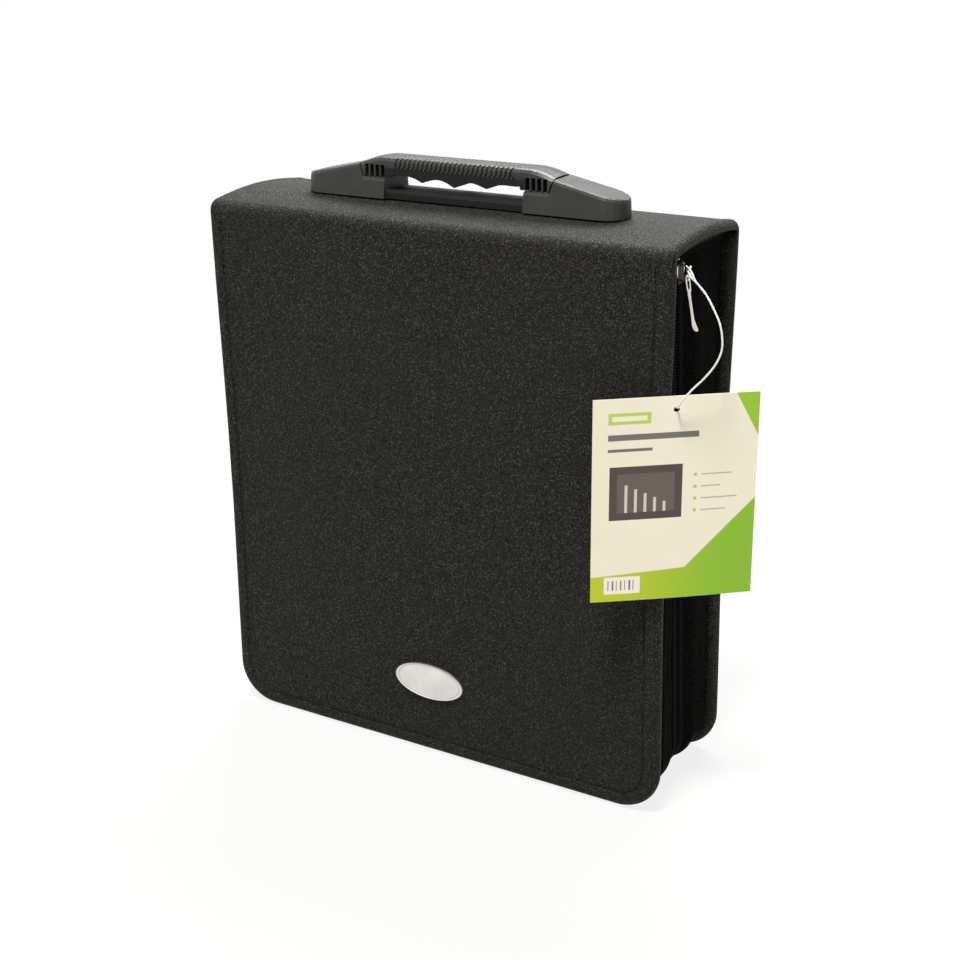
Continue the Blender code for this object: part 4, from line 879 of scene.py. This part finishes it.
def cord_piece(name, points, finish):
    """A round string along points."""
    curve = bpy.data.curves.new(name, "CURVE")
    curve.dimensions = "3D"
    curve.bevel_depth = STRING_THICKNESS / 2
    curve.bevel_resolution = 3
    curve.use_fill_caps = True
    curve.materials.append(finish)
    spline = curve.splines.new("POLY")
    spline.points.add(len(points) - 1)
    for target, point in zip(spline.points, points):
        target.co = (*point, 1.0)
    piece = bpy.data.objects.new(name, curve)
    bpy.context.collection.objects.link(piece)
    return piece


def box_middle(name):
    """The middle of a carried solid's box."""
    low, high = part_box(name)
    return (low + high) / 2


def make_ticket(finish):
    """The card, with a punched hole and a slight bow."""
    middle = box_middle("swing_ticket")
    normal = Vector((math.sin(TICKET_ANGLE), -math.cos(TICKET_ANGLE), 0))
    across = Vector((math.cos(TICKET_ANGLE), math.sin(TICKET_ANGLE), 0))
    centre = Vector((middle.x, middle.y, 0))
    half_w, height = TICKET_WIDTH / 2, TICKET_HEIGHT
    hole_z = TICKET_TOP - TICKET_HOLE_DROP
    bm = bmesh.new()
    columns, lines = 24, 30

    def place(u, v, depth):
        bow = CARD_BOW * math.cos(math.pi * u / (2 * half_w)) * ((TICKET_TOP - v) / height) ** 1.5
        return centre + across * u + Vector((0, 0, v)) + normal * (depth + bow)

    frame_u = [-half_w + 2 * half_w * i / columns for i in range(columns + 1)]
    frame_v = [TICKET_TOP - height * j / lines for j in range(lines + 1)]
    cut_u = [i for i, u in enumerate(frame_u) if abs(u) <= CARD_HOLE_PATCH]
    cut_v = [j for j, v in enumerate(frame_v) if abs(v - hole_z) <= CARD_HOLE_PATCH]
    edges = []
    for depth in (-CARD_HALF, CARD_HALF):
        grid = {}
        for i, u in enumerate(frame_u):
            for j, v in enumerate(frame_v):
                grid[i, j] = bm.verts.new(place(u, v, depth))
        i0, i1, j0, j1 = cut_u[0], cut_u[-1], cut_v[0], cut_v[-1]
        for i in range(columns):
            for j in range(lines):
                if i0 <= i < i1 and j0 <= j < j1:
                    continue
                bm.faces.new((grid[i, j], grid[i + 1, j], grid[i + 1, j + 1], grid[i, j + 1]))
        loop = [grid[i, j0] for i in range(i0, i1)] + [grid[i1, j] for j in range(j0, j1)]
        loop += [grid[i, j1] for i in range(i1, i0, -1)] + [grid[i0, j] for j in range(j1, j0, -1)]
        circle = []
        for vert in loop:
            offset = vert.co - place(0, hole_z, depth)
            u, v = offset.dot(across), offset.z
            turn = math.atan2(v, u)
            rim_u, rim_v = CARD_HOLE * math.cos(turn), hole_z + CARD_HOLE * math.sin(turn)
            circle.append(bm.verts.new(place(rim_u, rim_v, depth)))
        for k in range(len(loop)):
            n = (k + 1) % len(loop)
            bm.faces.new((loop[k], loop[n], circle[n], circle[k]))
        rim = [grid[i, 0] for i in range(columns)] + [grid[columns, j] for j in range(lines)]
        rim += [grid[i, lines] for i in range(columns, 0, -1)] + [grid[0, j] for j in range(lines, 0, -1)]
        edges.append((rim, circle))
    for a, b in zip(edges[0], edges[1]):
        for k in range(len(a)):
            n = (k + 1) % len(a)
            bm.faces.new((a[k], a[n], b[n], b[k]))
    return add_object("ticket_card", bm, finish, "front_cover", "swing_ticket", math.radians(50))


def make_badge(finish):
    """Oval plate with a raised rim and a gently domed face."""
    low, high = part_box("badge")
    cx, cz = box_middle("badge").xz
    hx, hz = (high.x - low.x) / 2, (high.z - low.z) / 2
    back, front = high.y + 0.0004, low.y
    bm = bmesh.new()
    rings = []
    for scale, sunk in ((1.0, back - front), (1.0, 0.0006), (0.99, 0.00025), (0.975, 0.0001), (0.962, 0.00012),
                        (0.952, 0.00035), (0.93, 0.00038), (0.7, 0.00022), (0.4, 0.0001), (0.1, 0.00005)):
        reach_x, reach_z = hx * scale, hz * scale
        if scale > 0.9:
            reach_x = hx - (1 - scale) * hz
        turns = [2 * math.pi * i / 72 for i in range(72)]
        rings.append([(cx + reach_x * math.cos(t), front + sunk, cz + reach_z * math.sin(t)) for t in turns])
    loft(bm, rings)
    return add_object("badge_plate", bm, finish, "front_cover", "badge", math.radians(60))


def make_sleeves(finish):
    """Thirty leaves with pockets, which hang from a punched strip on the rings."""
    bm = bmesh.new()
    weld = (SLEEVE_WELD - 0.001, SLEEVE_WELD, SLEEVE_WELD + 0.001)
    heights = (SLEEVE_FOOT, SLEEVE_FOOT + 0.0006, 0.055, 0.10, *weld, 0.19, 0.235, SLEEVE_ROOT)
    for i in range(SLEEVE_COUNT):
        place = i + 0.5 - SLEEVE_COUNT / 2
        y_top = place * 0.0005
        y_low = place * 0.001
        rings = []
        for z in heights:
            share = (SLEEVE_ROOT - z) / (SLEEVE_ROOT - SLEEVE_FOOT)
            y = y_top + (y_low - y_top) * share
            y += 0.00012 * math.sin(z * 60 + i)
            half = 0.00022 if z in (SLEEVE_FOOT, SLEEVE_WELD) else 0.00034
            if z == SLEEVE_ROOT:
                half = 0.00024
            x = SLEEVE_HALF - 0.0004 * (i % 3)
            rings.append([(-x, y - half, z), (x, y - half, z), (x, y + half, z), (-x, y + half, z)])
        loft(bm, rings)
    add_object("sleeve_leaves", bm, finish, "spine", "sleeve_pages", math.radians(30))
    bm = bmesh.new()
    half, root, top = STRIP_HALF, SLEEVE_ROOT, SLEEVE_TOP
    xs = [-SLEEVE_HALF]
    for x in RING_XS:
        xs += [x - STRIP_HALF, x + STRIP_HALF]
    xs.append(SLEEVE_HALF)
    for a, b in zip(xs[0::2], xs[1::2]):
        loft(bm, [[(x, -half, root), (x, half, root), (x, half, top), (x, -half, top)] for x in (a, b)])
    for x in RING_XS:
        steps = 24
        outer, inner = [], []
        for k in range(steps):
            turn = 2 * math.pi * k / steps
            c, s = math.cos(turn), math.sin(turn)
            above = top - RING_Z if s > 0 else RING_Z - root
            reach = min(STRIP_HALF / max(abs(c), 1e-6), above / max(abs(s), 1e-6))
            outer.append((x + c * reach, RING_Z + s * reach))
            inner.append((x + c * RING_HOLE, RING_Z + s * RING_HOLE))
        rows = []
        for (ox, oz), (ix, iz) in zip(outer, inner):
            corners = ((ox, -half, oz), (ox, half, oz), (ix, half, iz), (ix, -half, iz))
            rows.append([bm.verts.new(corner) for corner in corners])
        for k in range(steps):
            a, b = rows[k], rows[(k + 1) % steps]
            for i in range(4):
                j = (i + 1) % 4
                bm.faces.new((a[i], a[j], b[j], b[i]))
    add_object("sleeve_strip", bm, finish, "spine", None, math.radians(30))


def dress(finish, *names):
    """Give carried nodes a finish."""
    for name in names:
        mesh = nodes[name].data
        mesh.materials.clear()
        mesh.materials.append(finish)


def make_camera():
    """The photograph's viewpoint."""
    level = math.cos(CAMERA_ELEVATION)
    across, away = math.sin(CAMERA_AZIMUTH) * level, -math.cos(CAMERA_AZIMUTH) * level
    back = Vector((across, away, math.sin(CAMERA_ELEVATION)))
    right = (-back).cross(Vector((0, 0, 1))).normalized()
    up = right.cross(-back)
    turned_right = math.cos(CAMERA_ROLL) * right + math.sin(CAMERA_ROLL) * up
    turned_up = -math.sin(CAMERA_ROLL) * right + math.cos(CAMERA_ROLL) * up
    camera = bpy.data.objects.new("camera", bpy.data.cameras.new("camera"))
    place = Matrix((turned_right, turned_up, back)).transposed().to_4x4()
    place.translation = CAMERA_TARGET + back * CAMERA_DISTANCE
    camera.matrix_world = place
    camera.data.lens = CAMERA_LENS
    camera.data.sensor_width = 36.0
    camera.data.clip_start, camera.data.clip_end = 0.05, 50.0
    bpy.context.collection.objects.link(camera)
    bpy.context.scene.camera = camera


def area_lamp(name, place, aim, size, power, colour=(1.0, 1.0, 1.0)):
    """A soft rectangular lamp."""
    data = bpy.data.lights.new(name, "AREA")
    data.shape = "RECTANGLE"
    data.size, data.size_y = size
    data.energy = power
    data.color = colour
    lamp = bpy.data.objects.new(name, data)
    lamp.location = place
    lamp.rotation_euler = (Vector(aim) - Vector(place)).to_track_quat("-Z", "Y").to_euler()
    bpy.context.collection.objects.link(lamp)


def make_studio():
    """Floor, world and lamps."""
    bm = bmesh.new()
    bmesh.ops.create_grid(bm, x_segments=1, y_segments=1, size=6.0)
    floor = add_object("floor", bm, pale_floor())
    floor.location.z = -0.0001
    world = bpy.data.worlds.new("studio")
    bpy.context.scene.world = world
    world.use_nodes = True
    tree = world.node_tree
    background = tree.nodes["Background"]
    path = tree.nodes.new("ShaderNodeLightPath")
    seen = path.outputs[SEEING_RAYS[0]]
    for kind in SEEING_RAYS[1:]:
        either = tree.nodes.new("ShaderNodeMath")
        either.operation = "MAXIMUM"
        tree.links.new(seen, either.inputs[0])
        tree.links.new(path.outputs[kind], either.inputs[1])
        seen = either.outputs[0]
    strength = tree.nodes.new("ShaderNodeMapRange")
    strength.inputs["To Min"].default_value = WORLD_LIGHT
    strength.inputs["To Max"].default_value = 1.0
    tree.links.new(seen, strength.inputs["Value"])
    tree.links.new(strength.outputs[0], background.inputs["Strength"])
    background.inputs["Color"].default_value = (1.0, 1.0, 1.0, 1.0)
    area_lamp("key", (0.15, -0.65, 1.95), (0.0, 0.0, 0.15), (0.35, 0.35), KEY_POWER, (1.0, 0.985, 0.95))
    area_lamp("back", (-0.2, 0.9, 1.55), (0.0, 0.0, 0.3), (1.2, 0.6), BACK_POWER)
    bpy.context.scene.view_settings.view_transform = "Standard"


def main():
    """Make the camera and the string first, then every piece."""
    make_camera()
    string_finish = twisted_string()
    points, length = smooth_route(STRING_ROUTE, 64)
    string = cord_piece("string", points, string_finish)
    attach(string, "front_cover")
    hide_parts("ticket_string")
    loop = cord_piece("string_loop", smooth_route(LOOP_ROUTE, 40)[0], string_finish)
    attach(loop, "front_cover")

    hide = leatherette("pebbled black leatherette", (0.0054, 0.0053, 0.0046), (0.0280, 0.0272, 0.0235))
    gusset_hide = leatherette("soft gusset leatherette", (0.0015, 0.0015, 0.0013), (0.0048, 0.0047, 0.0042),
                              0.0009, 0.75, 0.0001, 0.015)
    lining = woven("black lining cloth", (0.010, 0.010, 0.010), (0.026, 0.026, 0.026))
    tape = woven("black zip tape", (0.0015, 0.0015, 0.0015), (0.005, 0.005, 0.005), 0.0005, shine=0.02)
    thread = moulded("black thread", (0.006, 0.006, 0.006), (0.014, 0.014, 0.013), 0.55)
    coil = moulded("black coil", (0.002, 0.002, 0.002), (0.006, 0.006, 0.006), 0.6, shine=0.04)
    # the base's middle bar gets painted shade, as it lies in the grip's shadow
    base_plastic = moulded("handle plastic", (0.019, 0.019, 0.018), (0.031, 0.031, 0.029), 0.42,
                           painted_shade_half=BASE_BAR_HALF)
    # the grip's lower body gets painted shade under its overhanging ribbed top
    grip_plastic = moulded("grip plastic", (0.017, 0.017, 0.016), (0.028, 0.028, 0.026), 0.36,
                           painted_shade_below=GRIP_RIBS_END)
    plating = (0.72, 0.67, 0.56), (0.42, 0.34, 0.22)
    nickel = metal("plated zip metal", *plating, 0.2)
    steel = metal("bright ring steel", (0.66, 0.66, 0.66), (0.40, 0.40, 0.40), 0.22)
    film = sleeve_film()

    front = make_cover_skin("front_skin", -1, hide)
    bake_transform(front)
    back = make_cover_skin("back_skin", 1, hide)
    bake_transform(back)
    make_spine_skin(hide)
    for name, side in (("front", -1), ("back", 1)):
        body = name + "_cover"
        stitches(name + "_cover_stitches", cover_seam_path(side), Vector((0, side, 0)), thread, body)
        make_gusset_cloth(name, side, gusset_hide, body)
        make_teeth(name, side, coil, body)
    make_slider(metal("plated slider metal", *plating, 0.2, dark_face=GUSSET_HALF + PLATE_FACE + 0.0003))
    make_pull(nickel)
    centre = box_middle("swing_ticket")
    centre_u = centre.x * math.cos(TICKET_ANGLE) + centre.y * math.sin(TICKET_ANGLE)
    make_ticket(printed_card(centre_u))
    low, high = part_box("badge")
    middle = box_middle("badge")
    half = (high - low) / 2
    make_badge(enamel_plate((middle.x, middle.z), half.x, half.z))
    make_sleeves(film)
    dress(lining, "spine_lining", "front_lining", "back_lining")
    dress(tape, "front_zip_tape", "back_zip_tape")
    dress(base_plastic, "handle_base")
    dress(grip_plastic, "handle_grip")
    dress(nickel, *(f"{side}_zip_stop_{end}" for side in ("front", "back") for end in ("left", "right")))
    dress(string_finish, "string_knot")
    dress(steel, "ring_cover", "handle_rivet_left", "handle_rivet_right", "ring_rivet_left", "ring_rivet_right",
          "front_blade", "back_blade", "trigger_left", "trigger_right",
          *(f"{side}_half_ring_{i}" for side in ("front", "back") for i in (1, 2, 3, 4)))
    make_studio()


main()
